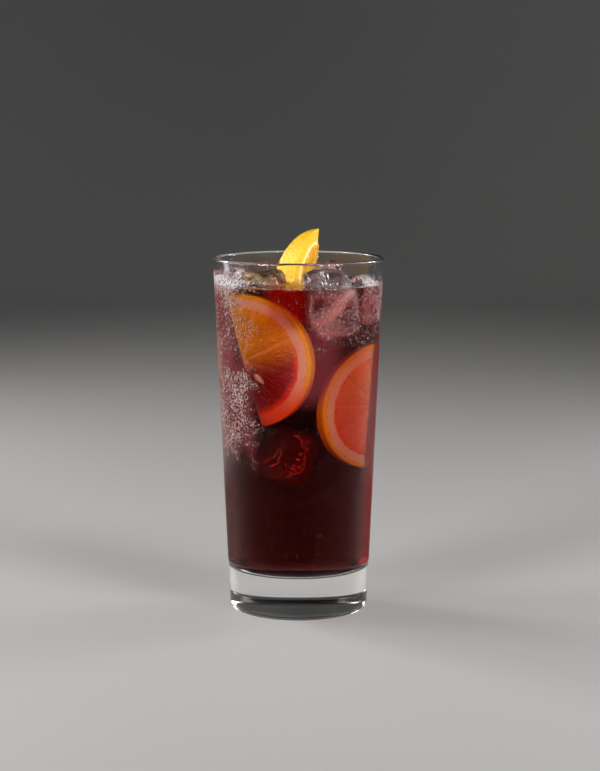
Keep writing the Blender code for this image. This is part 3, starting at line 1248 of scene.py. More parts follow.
@dataclass
class HalfSlice:
    """A half slice of orange on the wall, its arc towards +X and its front face at z = 0 in its own frame.

    Its place is an azimuth, the distance from the axis, the shift along the wall and the height of the middle
    of its cut, then its tilt and its turn, in degrees and metres. Webs are the angles of the walls between
    segments. The swell of the flesh, its fade, half a web, the core and the waviness are in millimetres.
    """

    name: str
    radius: float
    place: tuple[float, float, float, float, float, float]
    webs: tuple[float, ...]
    look: OrangeFinish = OrangeFinish()
    thickness: float = 0.005
    corner: float = 0.0015
    edge: float = 0.0007
    flesh_depth: float = 0.0056
    swell: float = 0.25
    swell_fade: float = 1.2
    half_web: float = 0.3
    core: float = 1.4
    waviness: float = 0.06
    waves: Span = (2100.0, 900.0)
    rings: int = 60
    spokes: int = 130
    levels: int = 9

    def matrix(self) -> Matrix:
        """Where the slice leans on the wall.

        Returns:
            The matrix from the slice's own frame to the part's.
        """
        azimuth, distance, along, height, tilt, turn = self.place
        yaw, pitch = math.radians(azimuth), math.radians(tilt)
        outward = Vector((math.sin(yaw), -math.cos(yaw), 0.0))
        sideways = Vector((math.cos(yaw), math.sin(yaw), 0.0))
        normal = outward * math.cos(pitch) + Vector((0.0, 0.0, math.sin(pitch)))
        upright = Matrix((sideways, normal.cross(sideways), normal)).transposed().to_4x4()
        middle = outward * distance + sideways * along + Vector((0.0, 0.0, height))
        return Matrix.Translation(middle) @ upright @ Matrix.Rotation(math.radians(turn), 4, "Z")

    def reach(self, angles: Array) -> Array:
        """How far the outline reaches: the arc, or the far side of the rounded corner's circle.

        Args:
            angles: Directions from the middle of the cut.

        Returns:
            Distances.
        """
        middle = math.sqrt((self.radius - self.corner) ** 2 - self.corner ** 2)
        a = np.abs(angles)
        along = self.corner * np.cos(a) + middle * np.sin(a)
        inside = np.maximum(self.corner ** 2 - (self.corner ** 2 + middle ** 2 - along ** 2), 0)
        return np.where(a <= math.atan2(middle, self.corner), self.radius, along + np.sqrt(inside))

    def relief(self, x: Array, y: Array, reach: Array) -> Array:
        """Height of the face over its plane.

        The flesh swells smoothly away from its webs, and the face rounds off towards the outline by a quarter
        circle, 1 - sqrt(1 - t^2).

        Args:
            x: Places across the slice.
            y: Places along the cut.
            reach: How far the outline reaches in each place's direction.

        Returns:
            Heights.
        """
        r = np.hypot(x, y)
        inside = self.radius - self.flesh_depth - r
        for web in np.radians(self.webs):
            inside = np.minimum(inside, np.abs(y * math.cos(web) - x * math.sin(web)) - self.half_web * MM)
        inside = np.minimum(inside, r - self.core * MM)
        swell = np.clip(inside / (self.swell_fade * MM), 0, 1)
        swell = swell * swell * (3 - 2 * swell) * self.swell * MM
        near_rim = np.clip(1 - (reach - r) / self.edge, 0, 1)
        near_cut = np.clip(1 - x / (0.5 * self.edge), 0, 1)
        drop = self.edge * (1 - np.sqrt(1 - near_rim ** 2))
        drop = drop + 0.5 * self.edge * (1 - np.sqrt(1 - near_cut ** 2))
        return swell - np.minimum(drop, self.edge)

    def surface(self) -> tuple[Array, list[Array]]:
        """The slice's skin: a front and a back face on a polar grid, joined by a wall along the outline.

        The front's points are s R(a) (cos a, sin a), and the cut's wall is faintly wavy.

        Returns:
            Points in the slice's own frame, and faces.
        """
        angles = np.pi / 2 * np.sin(np.pi / 2 * np.linspace(-1, 1, self.spokes + 1))
        share = np.linspace(0, 1, self.rings + 1)[1:, None]
        reach = self.reach(angles)[None, :]
        x, y = share * reach * np.cos(angles), share * reach * np.sin(angles)
        rise = self.relief(x, y, np.broadcast_to(reach, x.shape))
        columns = self.spokes + 1
        front = np.vstack((np.stack((x, y, rise), -1).reshape(-1, 3), [(0.0, 0.0, -0.5 * self.edge)]))
        back = front * (1, 1, -1) - (0, 0, self.thickness)
        count = len(front)
        quads = grid_quads(self.rings, columns, closed=False)
        tip = fan(count - 1, np.arange(columns), closed=False)[:, ::-1]
        grid = np.arange(self.rings * columns).reshape(self.rings, columns)
        outline = np.concatenate((grid[-1], grid[-2::-1, -1], [count - 1], grid[:-1, 0]))
        share = np.linspace(0, 1, self.levels + 1)[1:-1, None, None]
        walls = front[outline] * (1 - share) + back[outline] * share
        waves = self.waviness * MM * np.sin(walls[..., 1] * self.waves[0] + walls[..., 2] * self.waves[1])
        walls[..., 0] += waves * (np.abs(front[outline][:, 0]) < 1e-6)
        between = 2 * count + np.arange(walls.shape[0] * len(outline)).reshape(-1, len(outline))
        loops = np.vstack((outline, between, outline + count))
        wall = loops.ravel()[grid_quads(len(loops), len(outline), closed=True)]
        points = np.vstack((front, back, walls.reshape(-1, 3)))
        tips = np.vstack((tip, tip[:, ::-1] + count))
        return points, [np.vstack((quads, quads[:, ::-1] + count, wall)), tips]

    def build(self) -> bpy.types.Object:
        """Makes the slice.

        Returns:
            The slice.
        """
        points, faces = self.surface()
        finish = replace(self.look, radius=self.radius / MM, webs=self.webs,
                         flesh_depth=self.flesh_depth / MM)
        return make_piece(self.name + "_cut", placed(points, self.matrix()), faces,
                          [finish.material(self.name + "_look")], [self.name], local=points)

    def build_seed(self, x: float, y: float, turn: float) -> bpy.types.Object:
        """Makes a seed half sunk in the front face: an ellipsoid drawn to a point at one end.

        Args:
            x: Its place across the slice.
            y: Its place along the cut.
            turn: How it's turned in the face, in degrees.

        Returns:
            The seed.
        """
        half_long, half_wide, half_thick = 2.9 * MM, 1.35 * MM, 1.0 * MM
        points, faces, _ = turned(arc((0.0, 0.0), 1.0, -90, 90, 16), 20)
        taper = 1 - 0.35 * (points[:, 2] + 0.2)
        local = np.stack((points[:, 2] * half_long, points[:, 0] * half_wide * taper,
                          points[:, 1] * half_thick * taper), axis=-1)
        spin = Matrix.Translation((x, y, 0.25 * MM)) @ Matrix.Rotation(math.radians(turn), 4, "Z")
        return make_piece(self.name + "_seed", placed(local, self.matrix() @ spin), faces,
                          [SeedFinish().material()], local=local)


@dataclass
class Wedge:
    """The garnish: a lengthwise wedge. Its own frame has the core edge on Z and the rind towards +X.

    Its relief, from flesh_depth to ripple, is in millimetres.
    """

    radius: float = 0.0299
    angle: float = 21.0
    middle: Triple = (0.0075, 0.0320, 0.1373)
    leans: Span = (3.5, -2.0)
    rind_azimuth: float = -30.5
    flesh_depth: float = 6.8
    flesh_fade: float = 2.0
    core: float = 0.5
    core_fade: float = 1.5
    swell: float = 0.30
    ripple: float = 0.12
    waves: Span = (2600.0, 700.0)
    sharp: float = 40.0
    rows: int = 130
    across: int = 34
    around: int = 24
    look: OrangeFinish = OrangeFinish(
        cut=Cut.LENGTHWISE, rind_depth=5.6, flesh_depth=7.0, rind=(0.95, 0.55, 0.003),
        rind_spots=(0.93, 0.46, 0.002), rind_deep=(0.96, 0.56, 0.004), pith=(0.97, 0.70, 0.22),
        pith_pale=(0.97, 0.78, 0.36), flesh=(0.97, 0.41, 0.004), flesh_pale=(0.97, 0.52, 0.01),
        web=(0.97, 0.58, 0.06), subsurface=0.3, sheen=0.8, roughness=0.28, relief=0.0008, pore_size=0.5)

    def matrix(self) -> Matrix:
        """Where the wedge stands: leaned about Y and X, its rind turned to its azimuth.

        Returns:
            The matrix from the wedge's own frame to the part's.
        """
        matrix = Matrix.Translation(self.middle)
        for angle, axis in zip(self.leans, "YX"):
            matrix = matrix @ Matrix.Rotation(math.radians(angle), 4, axis)
        return matrix @ Matrix.Rotation(math.radians(self.rind_azimuth - 90.0), 4, "Z")

    def surface(self) -> tuple[Array, list[Array]]:
        """The wedge's skin: rows from tip to tip, each a loop along a cut face, round the rind and back.

        In a row at polar angle p the loop's points are s R sin p (cos a, sin a), with s from near 0 to 1 on
        the cut faces at a = -half or +half, and s = 1 over the rind. The flesh swells out of the cut faces.

        Returns:
            Points in the wedge's own frame, and faces.
        """
        half = math.radians(self.angle) / 2
        out = np.linspace(0.03, 1.0, self.across)
        turn = np.linspace(-half, half, self.around + 1)[1:-1]
        share = np.concatenate((out, np.ones(len(turn)), out[::-1]))
        around = np.concatenate((np.full(self.across, -half), turn, np.full(self.across, half)))
        side = np.concatenate((np.full(self.across, -1.0), np.zeros(len(turn)), np.full(self.across, 1.0)))
        polar = np.linspace(0, np.pi, self.rows + 1)[1:-1, None]
        r = self.radius * np.sin(polar) * share
        z = self.radius * np.cos(polar)
        x, y = r * np.cos(around), r * np.sin(around)
        depth = self.radius - np.sqrt(r ** 2 + z ** 2)
        swell = np.clip((depth - self.flesh_depth * MM) / (self.flesh_fade * MM), 0, 1)
        swell = swell * np.clip((r - self.core * MM) / (self.core_fade * MM), 0, 1)
        ripple = 0.5 + 0.5 * np.sin(z * self.waves[0] + r * self.waves[1])
        lift = (self.swell + self.ripple * ripple) * MM * swell * side
        x, y = x - lift * np.sin(around), y + lift * np.cos(around)
        points = np.stack((x, y, np.broadcast_to(z, x.shape)), axis=-1).reshape(-1, 3)
        count, columns = len(points), len(share)
        points = np.vstack((points, [(0, 0, self.radius), (0, 0, -self.radius)]))
        quads = grid_quads(self.rows - 1, columns, closed=True)
        ring = np.arange(columns)
        first = fan(count, ring)[:, ::-1]
        last = fan(count + 1, ring + (self.rows - 2) * columns)
        return points, [quads, np.vstack((first, last))]

    def build(self) -> bpy.types.Object:
        """Makes the wedge.

        Returns:
            The wedge.
        """
        points, faces = self.surface()
        finish = replace(self.look, radius=self.radius / MM).material("orange_wedge_look")
        piece = make_piece("orange_wedge_cut", placed(points, self.matrix()), faces, [finish],
                           ["orange_wedge"], local=points)
        piece.data.set_sharp_from_angle(angle=math.radians(self.sharp))
        return piece

    def build_juice(self, count: int, low: float = 0.0165, high: float = 0.0232) -> bpy.types.Object:
        """Makes beads of juice along the core edge, over the rim.

        Args:
            count: How many.
            low: Where they start along the edge, from the wedge's middle.
            high: Where they end.

        Returns:
            One piece of all the beads.
        """
        rng = np.random.default_rng(9)
        along = np.linspace(low, high, count) + rng.uniform(-0.3, 0.3, count) * MM
        out, aside = rng.uniform(0.0, 0.8, count) * MM, rng.uniform(-0.2, 0.2, count) * MM
        centres = np.stack((out, aside, along), axis=-1)
        sizes = rng.uniform(0.35, 0.75, count) * MM
        template, blocks, _ = turned(arc((0.0, 0.0), 1.0, -90, 90, 8), 12)
        frames = sizes[:, None, None] * np.diag((1.0, 0.9, 1.15))
        points = blob(template, blocks[0], frames, centres)[0]
        faces = [blob(template, block, frames, centres)[1] for block in blocks]
        return make_piece("wedge_juice", placed(points, self.matrix()), faces, [JuiceFinish().material()])


@dataclass
class Froth:
    """Small bubbles that stand together at the waterline, with sizes, lift and heap in millimetres."""

    tumbler: Tumbler
    level: float
    seed: int = 4
    smallest: float = 0.13
    growth: float = 0.34
    lift: float = 0.2
    heap: float = 1.3

    def build(self, patches: Sequence[tuple[float, float, float, int]]) -> bpy.types.Object:
        """Scatters the bubbles, thickest in a patch's middle and at the wall, where they heap up.

        Args:
            patches: Azimuths from and to, how far the patch reaches in from the wall, and how many bubbles.

        Returns:
            One piece of all the bubbles.
        """
        rng = np.random.default_rng(self.seed)
        places, sizes = [], []
        for low, high, reach, count in patches:
            size = (self.smallest + self.growth * rng.uniform(0, 1, count) ** 2.5) * MM
            azimuth = np.radians(rng.triangular(low, (low + high) / 2, high, count))
            inward = reach * rng.uniform(0, 1, count) ** 1.7
            radius = self.tumbler.inner(self.level) - 0.05 * MM - size - inward
            heap = self.heap * rng.uniform(0, 1, count) ** 1.8 * np.exp(-inward / reach)
            z = self.level + (self.lift + heap) * MM
            places.append(np.stack((radius * np.sin(azimuth), -radius * np.cos(azimuth), z), axis=-1))
            sizes.append(size)
        ball, ball_faces = icosahedron()
        frames = np.concatenate(sizes)[:, None, None] * np.eye(3)
        points, faces = blob(ball, ball_faces, frames, np.vstack(places))
        finish = BubbleFinish("froth_look", (0.97, 0.90, 0.89), 0.78)
        return make_piece("froth", points, [faces], [finish.material()])


@dataclass
class Punch:
    """The drink, up to a level that creeps up the glass and the ice."""

    tumbler: Tumbler
    level: float = 0.1452
    overlap: float = 0.0004
    ice_overlap: float = 0.00015
    wall_rise: float = 0.0005
    wall_fade: float = 0.0012
    ice_rise: float = 0.0007
    ice_fade: float = 0.0009
    sharp: float = 32.0
    steps: int = 192

    def height(self, x: Array, y: Array, ice: Sequence[IceCube]) -> Array:
        """Height of the free surface: the level, plus a rise that fades as exp(-d / fade) from glass and ice.

        Args:
            x: Places across.
            y: Places front to back.
            ice: Cubes that stand out of the surface.

        Returns:
            Heights.
        """
        gap = self.tumbler.inner(self.level) - np.hypot(x, y)
        z = self.level + self.wall_rise * np.exp(-np.maximum(gap, 0.0) / self.wall_fade)
        for cube in ice:
            z = z + self.ice_rise * np.exp(-cube.nearness(x, y, self.level) / self.ice_fade)
        return z

    def cut_rooms(self, drink: bpy.types.Object, cubes: Sequence[IceCube]) -> None:
        """Cuts each cube's room from the drink and applies the cut.

        Args:
            drink: The drink.
            cubes: The cubes.
        """
        rooms = bpy.data.collections.new("rooms")
        for cube in cubes:
            rooms.objects.link(cube.cutter(-self.ice_overlap))
        cut = drink.modifiers.new("ice_room", "BOOLEAN")
        cut.operand_type, cut.operation, cut.solver = "COLLECTION", "DIFFERENCE", "EXACT"
        cut.collection = rooms
        bpy.context.view_layer.update()
        whole = drink.data
        finished = drink.evaluated_get(bpy.context.evaluated_depsgraph_get())
        drink.data = bpy.data.meshes.new_from_object(finished)
        drink.modifiers.clear()
        bpy.data.meshes.remove(whole)
        for room in list(rooms.objects):
            bpy.data.objects.remove(room)
        bpy.data.collections.remove(rooms)

    def build(self, floating: Sequence[IceCube], sunk: Sequence[IceCube]) -> bpy.types.Object:
        """Makes the drink with the ice's room cut from it.

        Its profile runs from the axis along the floor, round the fillet, up the wall and in over the free
        surface, an overlap into the glass all the way.

        Args:
            floating: Cubes that stand out of the surface.
            sunk: Cubes wholly below it.

        Returns:
            The drink.
        """
        glass = self.tumbler
        floor_z = glass.base - self.overlap
        fillet_z = glass.base + glass.floor_rounding
        middle = (glass.inner(fillet_z) - glass.floor_rounding, fillet_z)
        fillet = arc(middle, glass.floor_rounding + self.overlap, -90, 0, 12)
        edge = (glass.inner(self.level) + self.overlap, self.level)
        wall = straight(fillet[-1], edge, 20)
        floor = straight((0.0, floor_z), fillet[0], 8)
        radii = edge[0] * (1 - np.linspace(0, 1, 64)[1:-1] ** 1.6)
        top = np.stack((radii, np.full(len(radii), self.level)), axis=-1)
        below = np.vstack(([(0.0, floor_z)], floor, fillet, wall, [edge]))
        points, faces, stretches = turned(np.vstack((below, top, [(0.0, self.level)])), self.steps)
        free = points[:, 2] > self.level - 1e-9
        points[free, 2] = self.height(points[free, 0], points[free, 1], floating)
        looks = [PunchFinish().material(contact) for contact in (Contact.AIR, Contact.WET)]
        drink = make_piece("red_wine_punch", points, faces, looks, ["punch"],
                           (stretches < len(below) - 1).astype(int))
        self.cut_rooms(drink, (*floating, *sunk))
        drink.data.shade_smooth()
        drink.data.set_sharp_from_angle(angle=math.radians(self.sharp))
        log.info("punch cut: %d faces", len(drink.data.polygons))
        return drink


def hump(value: Array, low: float, high: float, fade: float) -> Array:
    """1 between low and high, falling to 0 over the fade on both sides by the smooth step t t (3 - 2 t)."""
    t = np.clip(np.minimum(value - low, high - value) / fade + 1, 0, 1)
    return t * t * (3 - 2 * t)


@dataclass(frozen=True)
class Patch:
    """A soft-edged patch on the outside of the glass.

    Each span says where it starts and ends and how far it fades beyond both: round the glass in degrees from
    the front, up it in metres, and up it in metres over the wavy line on which drips end.
    """

    around: Triple
    up: Optional[Triple] = None
    over_drips: Optional[Triple] = None
    share: float = 1.0

    def cover(self, azimuth: Array, z: Array, over_drips: Array) -> Array:
        """The patch's share times the product of its spans' humps.

        Args:
            azimuth: Degrees from the front.
            z: Heights.
            over_drips: Heights over the wavy line.

        Returns:
            Cover from 0 to the share.
        """
        cover = hump(azimuth, *self.around)
        for height, span in ((over_drips, self.over_drips), (z, self.up)):
            if span is not None:
                cover = cover * hump(height, *span)
        return self.share * cover


@dataclass
class Condensation:
    """Beads of water and a finer mist on the outside of the glass, thick at the left and thin at the right.

    Drips are sine waves that the patches' lower edges follow, each with its size, rate and phase. Their sizes
    and those of the beads are in millimetres.
    """

    tumbler: Tumbler
    seed: int = 21
    low: float = 0.022
    high: float = 0.1525
    dome: tuple[Span, ...] = ((0.0, -0.10), (1.0, -0.08), (0.80, 0.34), (0.0, 0.56))
    drips: tuple[Triple, ...] = ((2.4, 0.16, 0.0), (1.6, 0.37, 2.0), (1.0, 0.83, 0.0))
    # Where the film carries painted light: a red glow down the right edge, shade low on the left edge, and a
    # red glow just under the surface
    painted_edge_patches: tuple[Patch, ...] = (
        Patch((80, 88, 32), (0.026, 0.062, 0.026)),
        Patch((76, 88, 16), (0.064, 0.114, 0.018), share=0.9),
    )
    painted_spot_patches: tuple[Patch, ...] = (
        Patch((-90, -78, 34), (0.026, 0.058, 0.018), share=0.8),
        Patch((-15, -1, 10), (0.1335, 0.1442, 0.008)),
    )
    film_left: Patch = Patch((-165, -60, 22), (0.100, 0.147, 0.010))
    film_bare: Patch = Patch((-96, -84, 5), (0.104, 0.123, 0.006), share=0.85)
    film_rest: tuple[Patch, ...] = (
        Patch((-165, -44, 16), over_drips=(0.082, 0.104, 0.014)),
        Patch((16, 100, 11), (0.1, 0.1442, 0.004), (0.124, 0.16, 0.010), 0.2),
        Patch((4, 20, 20), (0.104, 0.122, 0.012), share=0.6),
    )
    smallest: float = 0.09
    growth: float = 0.18
    beads_left: Patch = Patch((-165, -46, 24), (0.05, 0.147, 0.010), (0.079, 0.16, 0.016))
    beads_thick: Patch = Patch((-150, -40, 14), over_drips=(0.078, 0.106, 0.014))
    beads_gap: Patch = Patch((-64, -44, 7), (0.1115, 0.1155, 0.003), share=0.8)
    beads_bare: Patch = Patch((-96, -85, 4), (0.104, 0.123, 0.005))
    beads_right: Patch = Patch((16, 100, 11), (0.1, 0.1442, 0.004), (0.124, 0.16, 0.009), 0.54)
    beads_few: tuple[Patch, ...] = (
        Patch((18, 75, 10), (0.030, 0.078, 0.012), share=0.04),
        Patch((-75, -52, 8), (0.034, 0.070, 0.008), share=0.12),
        Patch((-128, -48, 22), (0.1455, 0.1475, 0.005), share=0.6),
        Patch((52, 100, 8), (0.1440, 0.1480, 0.004), share=0.40),
        Patch((-2, 42, 8), (0.100, 0.120, 0.006), share=0.02),
    )

    def above_drips(self, azimuth: Array, z: Array, waves: int) -> Array:
        """Heights over the line on which drips end: z plus the sum of size sin(rate a + phase).

        Args:
            azimuth: Degrees from the front.
            z: Heights.
            waves: How many of the drips' waves count.

        Returns:
            Heights.
        """
        return z + sum(size * np.sin(rate * azimuth + phase) for size, rate, phase in self.drips[:waves]) * MM

    def wine(self, azimuth: Array, z: Array) -> Array:
        """How much of the film is painted light, from 0 to 1: painted shade and red glow at both edges and
        under the surface.

        Args:
            azimuth: Degrees from the front.
            z: Heights.

        Returns:
            Shares.
        """
        edges = np.maximum.reduce([patch.cover(azimuth, z, z) for patch in self.painted_edge_patches])
        return edges + sum(patch.cover(azimuth, z, z) for patch in self.painted_spot_patches)

    def film(self, azimuth: Array, z: Array) -> Array:
        """How thick the rosy film under the beads is, from 0 to 1.

        Args:
            azimuth: Degrees from the front.
            z: Heights.

        Returns:
            Thicknesses.
        """
        place = (azimuth, z, self.above_drips(azimuth, z, 2))
        left = self.film_left.cover(*place) * (1 - self.film_bare.cover(*place))
        return np.maximum.reduce([left] + [patch.cover(*place) for patch in self.film_rest])

    def density(self, azimuth: Array, z: Array) -> Array:
        """How thickly beads stand, from 0 to 1.

        The patches' sides are bent by slow sine waves, and the whole is a little uneven by two more.

        Args:
            azimuth: Degrees from the front.
            z: Heights.

        Returns:
            Densities.
        """
        bent = azimuth + 4.5 * np.sin(290 * z + 0.03 * azimuth)
        bent = bent + 3.0 * np.sin(730 * z + 0.09 * azimuth + 1)
        over = self.above_drips(azimuth, z, 3)
        place = (bent, z, over)
        left, thick = self.beads_left.cover(*place), self.beads_thick.cover(*place)
        bare = np.maximum(self.beads_gap.cover(*place), self.beads_bare.cover(azimuth, z, over))
        spread = (0.74 * np.maximum(left, thick) + 0.20 * thick) * (1 - 0.7 * bare)
        spread = 0.004 + np.maximum(spread, self.beads_right.cover(*place))
        spread = spread + sum(patch.cover(*place) for patch in self.beads_few)
        uneven = 0.8 + 0.2 * np.sin(bent * 0.19 + 40 * z) * np.sin(bent * 0.053 - 150 * z)
        return np.clip(spread * uneven, 0, 1)

    def build_mist(self, rows: int, steps: int) -> bpy.types.Object:
        """Makes the film of fine droplets: a thin closed shell round the outside, a hair off the glass.

        Args:
            rows: Rings from bottom to top.
            steps: Points in a ring.

        Returns:
            The film, with its wetness, its rosy film and its painted edge light kept in attributes.
        """
        z = np.linspace(self.low, self.high, rows)
        angle = np.linspace(-np.pi, np.pi, steps, endpoint=False)
        rings = np.concatenate([np.stack((self.tumbler.outer(z) + off, z), axis=-1)[::way]
                                for off, way in ((0.05 * MM, 1), (0.015 * MM, -1))])
        radius, height = rings[:, :1], np.broadcast_to(rings[:, 1:], (2 * rows, steps))
        points = np.stack((radius * np.sin(angle), -radius * np.cos(angle), height), axis=-1).reshape(-1, 3)
        loops = np.vstack((np.arange(2 * rows * steps).reshape(2 * rows, steps), np.arange(steps)[None]))
        faces = loops.ravel()[grid_quads(2 * rows + 1, steps, closed=True)]
        film = make_piece("mist", points, [faces], [MistFinish().material()])
        azimuth = np.degrees(np.broadcast_to(angle, height.shape))
        for name, amount in ((WETNESS, self.density), (FILM, self.film), (PAINTED_EDGE, self.wine)):
            attribute = film.data.attributes.new(name, "FLOAT", "POINT")
            attribute.data.foreach_set("value", amount(azimuth, height).astype(np.float32).ravel())
        return film

    def build(self, tries: int) -> bpy.types.Object:
        """Scatters the beads: low domes, larger where they stand thickly, some drawn out along the slope.

        Args:
            tries: Random places that are drawn; each is kept with the chance that density gives.

        Returns:
            One piece of all the beads.
        """
        rng = np.random.default_rng(self.seed)
        azimuth = rng.uniform(-180.0, 180.0, tries)
        z = rng.uniform(self.low, self.high, tries)
        kept = rng.uniform(0.0, 1.0, tries) < self.density(azimuth, z)
        azimuth, z = azimuth[kept], z[kept]
        size = self.smallest + self.growth * rng.uniform(0, 1, len(z)) ** 2.0
        size = size * (0.55 + 0.45 * self.density(azimuth, z)) * MM
        azimuth = np.radians(azimuth)
        slope = (self.tumbler.rim_radius - self.tumbler.foot_radius) / self.tumbler.height
        sin, cos = np.sin(azimuth), np.cos(azimuth)
        outward = np.stack((sin, -cos, np.full(len(z), -slope)), axis=-1) / math.hypot(1, slope)
        sideways = np.stack((cos, sin, np.zeros(len(z))), axis=-1)
        upward = np.cross(outward, sideways) * rng.uniform(1.0, 1.25, len(z))[:, None]
        frames = np.stack((sideways, upward, outward), axis=-1) * size[:, None, None]
        radius = self.tumbler.outer(z)
        places = np.stack((radius * sin, -radius * cos, z), axis=-1)
        template, blocks, _ = turned(np.array(self.dome), 6)
        points = blob(template, blocks[0], frames, places)[0]
        faces = [blob(template, block, frames, places)[1] for block in blocks]
        return make_piece("condensation", points, faces, [DropletFinish().material()])


# The studio


@dataclass(frozen=True)
class Lamp:
    """A soft rectangular lamp."""

    name: str
    place: Triple
    aim: Triple
    width: float
    height: float
    power: float
    colour: Colour = (1.0, 1.0, 1.0)
    spread: float = 180.0

    def build(self) -> None:
        """Adds the lamp, facing its aim."""
        data = bpy.data.lights.new(self.name, "AREA")
        data.shape = "RECTANGLE"
        data.size, data.size_y = self.width, self.height
        data.energy, data.color = self.power, self.colour
        data.spread = math.radians(self.spread)
        lamp = bpy.data.objects.new(self.name, data)
        lamp.location = self.place
        towards = Vector(self.aim) - Vector(self.place)
        lamp.rotation_mode = "QUATERNION"
        lamp.rotation_quaternion = towards.to_track_quat("-Z", "Y")
        bpy.context.scene.collection.objects.link(lamp)


@dataclass
class Studio:
    """Floor, soft light and camera."""

    camera_place: Triple = (0.00066, -0.8582, 0.225)
    camera_pitch: float = -8.3
    lens: float = 91.24
    sensor: float = 36.0
    near: float = 0.01
    far: float = 50.0
    floor_size: float = 8.0
    floor_drop: float = 0.0003
    world_colour: Colour = (0.86, 0.87, 0.88)
    world_strength: float = 0.12
    sweep_start: float = 1.3
    sweep_radius: float = 0.9
    clear_bounces: int = 28
    see_through_bounces: int = 32
    glossy_bounces: int = 6
    lamps: tuple[Lamp, ...] = (
        Lamp("key_back_left", (-0.60, 0.42, 0.45), (0.0, 0.0, 0.12), 0.20, 0.20, 3.2, (1.0, 0.97, 0.93)),
        Lamp("glint_top", (-0.61, 0.08, 0.82), (0.0, 0.0, 0.15), 0.26, 0.26, 2.4, (1.0, 0.99, 0.97)),
        Lamp("glint_right", (0.36, -0.52, 0.76), (0.0, 0.0, 0.15), 0.12, 0.12, 1.0),
        Lamp("strip_back_left", (-0.78, 0.36, 0.12), (0.0, 0.0, 0.08), 0.14, 0.22, 0.3),
        Lamp("front_left", (-0.62, -0.64, 0.25), (0.0, 0.0, 0.12), 0.30, 0.22, 1.5, (1.0, 0.98, 0.95), 70.0),
        Lamp("front_right", (0.66, -0.57, 0.26), (0.0, 0.0, 0.12), 0.28, 0.22, 1.35, spread=70.0),
        Lamp("side_right", (0.62, 0.30, 0.30), (0.0, 0.0, 0.08), 0.22, 0.25, 2.2, (0.97, 0.98, 1.0)),
    )

    def build_floor(self) -> None:
        """Adds the floor, a hair below the glass's underside, which sweeps up behind in a quarter circle."""
        half, z = self.floor_size / 2, -self.floor_drop
        bend = arc((self.sweep_start, z + self.sweep_radius), self.sweep_radius, -90, 0, 24)
        side = np.vstack(([(-half, z)], bend, [(bend[-1, 0], half)]))
        points = np.vstack([np.insert(side, 0, x, axis=1) for x in (half, -half)])
        mesh = bpy.data.meshes.new("floor")
        mesh.from_pydata(points.tolist(), [], grid_quads(2, len(side), closed=False).tolist())
        mesh.shade_smooth()
        mesh.materials.append(FloorFinish().material())
        floor = bpy.data.objects.new("floor", mesh)
        bpy.context.scene.collection.objects.link(floor)

    def build_world(self) -> None:
        """Adds an even pale surround."""
        world = bpy.data.worlds.new("studio")
        world.use_nodes = True
        background = world.node_tree.nodes["Background"]
        background.inputs["Color"].default_value = (*self.world_colour, 1.0)
        background.inputs["Strength"].default_value = self.world_strength
        bpy.context.scene.world = world

    def build_camera(self) -> None:
        """Adds the camera at the photograph's viewing angle."""
        data = bpy.data.cameras.new("camera")
        data.lens, data.sensor_width, data.sensor_fit = self.lens, self.sensor, "AUTO"
        data.clip_start, data.clip_end = self.near, self.far
        camera = bpy.data.objects.new("camera", data)
        camera.location = self.camera_place
        camera.rotation_euler = (math.radians(90.0 + self.camera_pitch), 0.0, 0.0)
        bpy.context.scene.collection.objects.link(camera)
        bpy.context.scene.camera = camera

    def build(self) -> None:
        """Sets up the studio and how light is followed through glass and drink."""
        self.build_floor()
        self.build_world()
        self.build_camera()
        for lamp in self.lamps:
            lamp.build()
        scene = bpy.context.scene
        scene.view_settings.view_transform = "Standard"
        scene.cycles.max_bounces = scene.cycles.transmission_bounces = self.clear_bounces
        scene.cycles.transparent_max_bounces = self.see_through_bounces
        scene.cycles.glossy_bounces = self.glossy_bounces
        scene.cycles.caustics_refractive = scene.cycles.caustics_reflective = False


# Painted light in the ice's colours: ice_front_left's peach is a painted reflection of the orange, ice_back's
# pink is painted red light of the punch, and the others but ice_front_right keep the default pink, painted
# the same way
FLOATING = (
    IceCube("ice_front_left", (0.0180, 0.0170, 0.0250), 3, (-0.0137, -0.0056, 0.1391), (-21.0, -17.0, -6.0),
            ("ice_front_left",), IceFinish(milk=0.2, cloud_top=0.156, colour=(0.96, 0.67, 0.37))),
    IceCube("ice_front_right", (0.0205, 0.0205, 0.0285), 5, (0.0126, -0.0143, 0.1378), (8.0, -5.0, 4.0),
            ("ice_front_right",), IceFinish(
                milk=0.95, colour=(0.95, 0.93, 0.94),
                streaks=((22.0, 147.0, 17.7, 140.5, 4.5), (17.7, 140.5, 10.5, 131.5, 4.0),
                         (10.5, 131.5, 5.0, 129.5, 3.0), (9.0, 125.5, 26.0, 122.5, 3.5),
                         (4.0, 142.0, 3.0, 132.0, 1.6)),
                hollows=((22.5, 132.0, 27.0, 130.5, 3.2), (20.0, 137.5, 21.0, 139.5, 2.4),
                         (8.0, 140.0, 6.5, 136.0, 3.0)))),
    IceCube("ice_right", (0.0150, 0.0110, 0.0210), 8, (0.0278, 0.0000, 0.1385), (90.0, 6.0, 5.0),
            ("ice_right",), IceFinish(milk=0.8, cloud_top=0.149)),
    IceCube("ice_back", (0.0142, 0.0148, 0.0215), 11, (0.0137, 0.0160, 0.1424), (146.0, 20.0, -27.0),
            ("ice_back",), IceFinish(milk=0.35, cloud_top=0.154, colour=(0.80, 0.48, 0.50))),
    IceCube("ice_left", (0.0150, 0.0110, 0.0180), 14, (-0.0245, 0.0116, 0.1404), (-116.0, -6.0, 4.0),
            ("ice_left",), IceFinish(milk=0.9, cloud_top=0.1545)),
)

